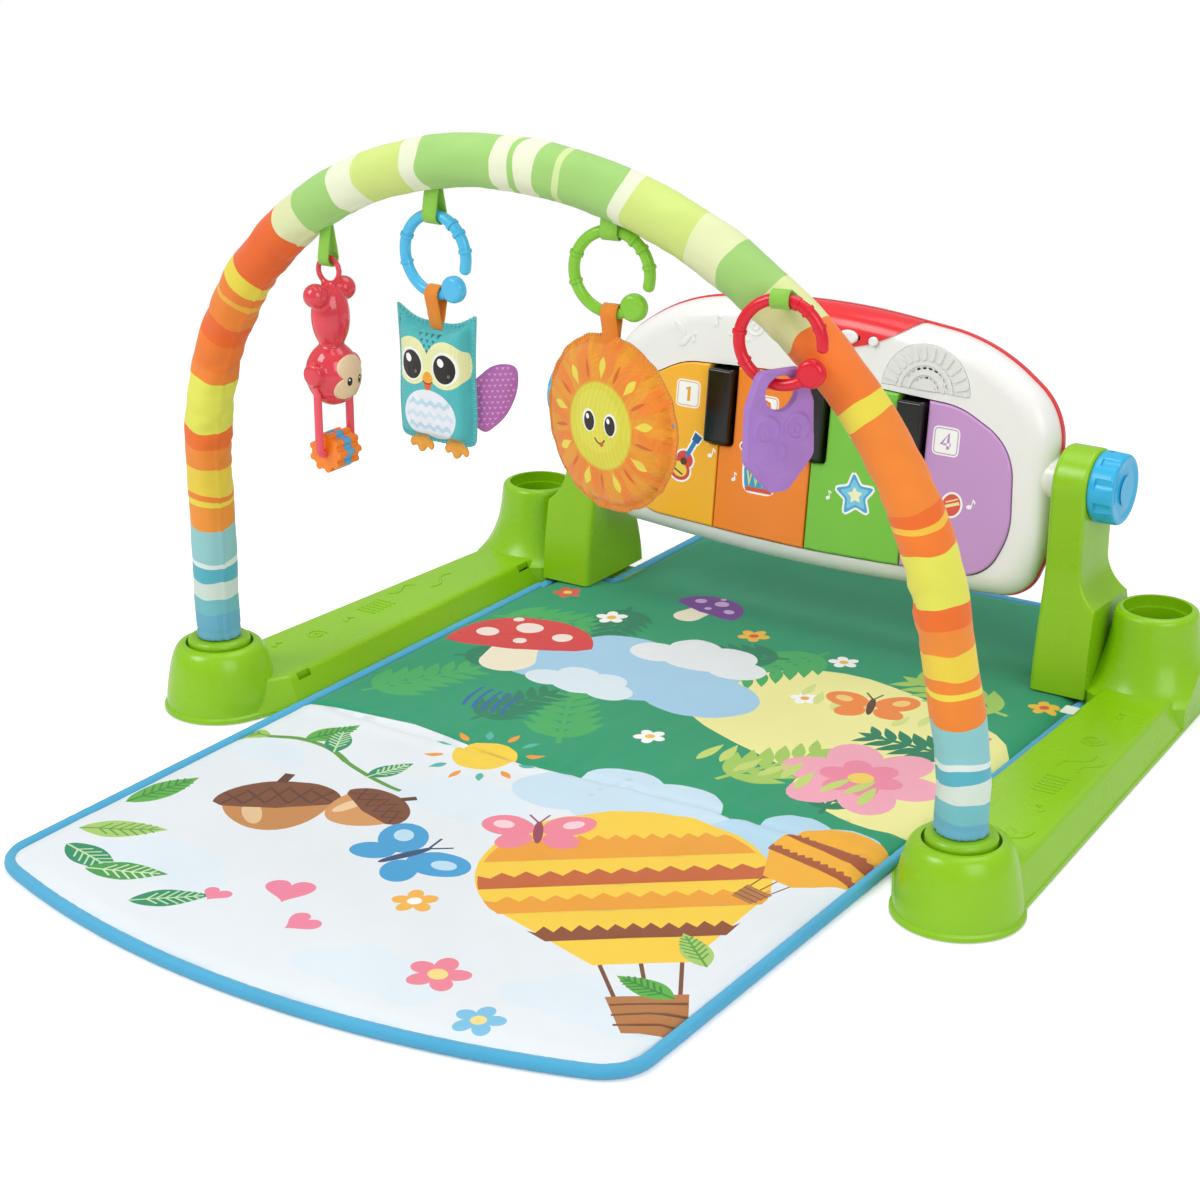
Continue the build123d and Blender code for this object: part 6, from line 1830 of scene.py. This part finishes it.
facePlate = nodes["rattle_face"]
plateMesh = facePlate.data.copy()
plateMesh.transform(facePlate.matrix_world)
plateTree = BVHTree.FromPolygons([v.co[:] for v in plateMesh.vertices],
                                 [p.vertices[:] for p in plateMesh.polygons])
faceMiddle = -44.2
for side in (-1, 1):
    middle = faceMiddle + side * eyeShape["side"]
    label = "Right" if side > 0 else "Left"
    eyeSpot("rattleEye" + label, plateTree, middle, eyeShape["height"], eyeShape["across"], eyeShape["tall"],
            eyeInk, 0.0)
    eyeSpot("rattleGlint" + label, plateTree, middle - 0.5, eyeShape["height"] + 1.2, 0.6, 0.8, eyeGlint, 0.3)
print("face plate eyes printed")

# floor and light
floorShape = {"size": 14.0, "back": 5.0}
bpy.ops.mesh.primitive_plane_add(size=floorShape["size"], location=(0, 0, 0))
floor = bpy.context.object
floor.name = "paperFloor"


def paperWhite(name):
    material, tree, shader = newMaterial(name, Base_Color=(0.86, 0.86, 0.86, 1), Roughness=0.9,
                                         Specular_IOR_Level=0.1)
    out = [n for n in tree.nodes if n.type == "OUTPUT_MATERIAL"][0]
    lightPath = addNode(tree, "LightPath", (-300, -300))
    glow = addNode(tree, "Emission", (0, -300), Color=(1, 1, 1, 1), Strength=0.36)
    added = addNode(tree, "AddShader", (450, -100))
    tree.links.new(shader.outputs[0], added.inputs[0])
    tree.links.new(glow.outputs[0], added.inputs[1])
    # far from the object the paper runs out into plain white
    coords = addNode(tree, "TexCoord", (-900, -500)).outputs["Object"]
    reach = addNode(tree, "VectorMath", (-700, -500), {"operation": "LENGTH"}, i0=coords)
    far = addNode(tree, "MapRange", (-500, -500), Value=reach.outputs["Value"], From_Min=0.75, From_Max=1.5)
    plain = addNode(tree, "Emission", (0, -500), Color=(1, 1, 1, 1), Strength=1.0)
    seen = addNode(tree, "MixShader", (500, -300), Fac=far.outputs[0])
    tree.links.new(added.outputs[0], seen.inputs[1])
    tree.links.new(plain.outputs[0], seen.inputs[2])
    mixed = addNode(tree, "MixShader", (550, 100), Fac=lightPath.outputs["Is Camera Ray"])
    tree.links.new(shader.outputs[0], mixed.inputs[1])
    tree.links.new(seen.outputs[0], mixed.inputs[2])
    tree.links.new(mixed.outputs[0], out.inputs[0])
    return material


floor.data.materials.append(paperWhite("paperWhite"))

lampSettings = (
    # name, place, aim, size, watts
    ("keyLamp", (-1.6, -2.2, 2.6), (0, 0, 0.1), 1.6, 52),
    ("fillLamp", (2.6, -1.4, 1.7), (0, 0.1, 0.15), 1.8, 28),
    ("topLamp", (0.2, 0.6, 3.0), (0, 0.1, 0), 2.4, 35),
)
for name, place, aim, size, watts in lampSettings:
    bpy.ops.object.light_add(type="AREA", location=place)
    lamp = bpy.context.object
    lamp.name = name
    lamp.data.size = size
    lamp.data.energy = watts
    lamp.rotation_euler = (Vector(aim) - Vector(place)).to_track_quat("-Z", "Y").to_euler()

world = bpy.data.worlds.new("softWhiteRoom")
bpy.context.scene.world = world
world.use_nodes = True
worldTree = world.node_tree
worldTree.nodes.clear()
roomGlow = addNode(worldTree, "Background", (0, 0), Color=(1, 1, 1, 1), Strength=0.48)
seenWhite = addNode(worldTree, "Background", (0, -200), Color=(1, 1, 1, 1), Strength=1.0)
rays = addNode(worldTree, "LightPath", (-300, 200))
worldMix = addNode(worldTree, "MixShader", (200, 0), Fac=rays.outputs["Is Camera Ray"])
worldTree.links.new(roomGlow.outputs[0], worldMix.inputs[1])
worldTree.links.new(seenWhite.outputs[0], worldMix.inputs[2])
worldOut = addNode(worldTree, "OutputWorld", (400, 0))
worldTree.links.new(worldMix.outputs[0], worldOut.inputs[0])

bpy.context.scene.view_settings.view_transform = "Standard"

print("light and floor ready")
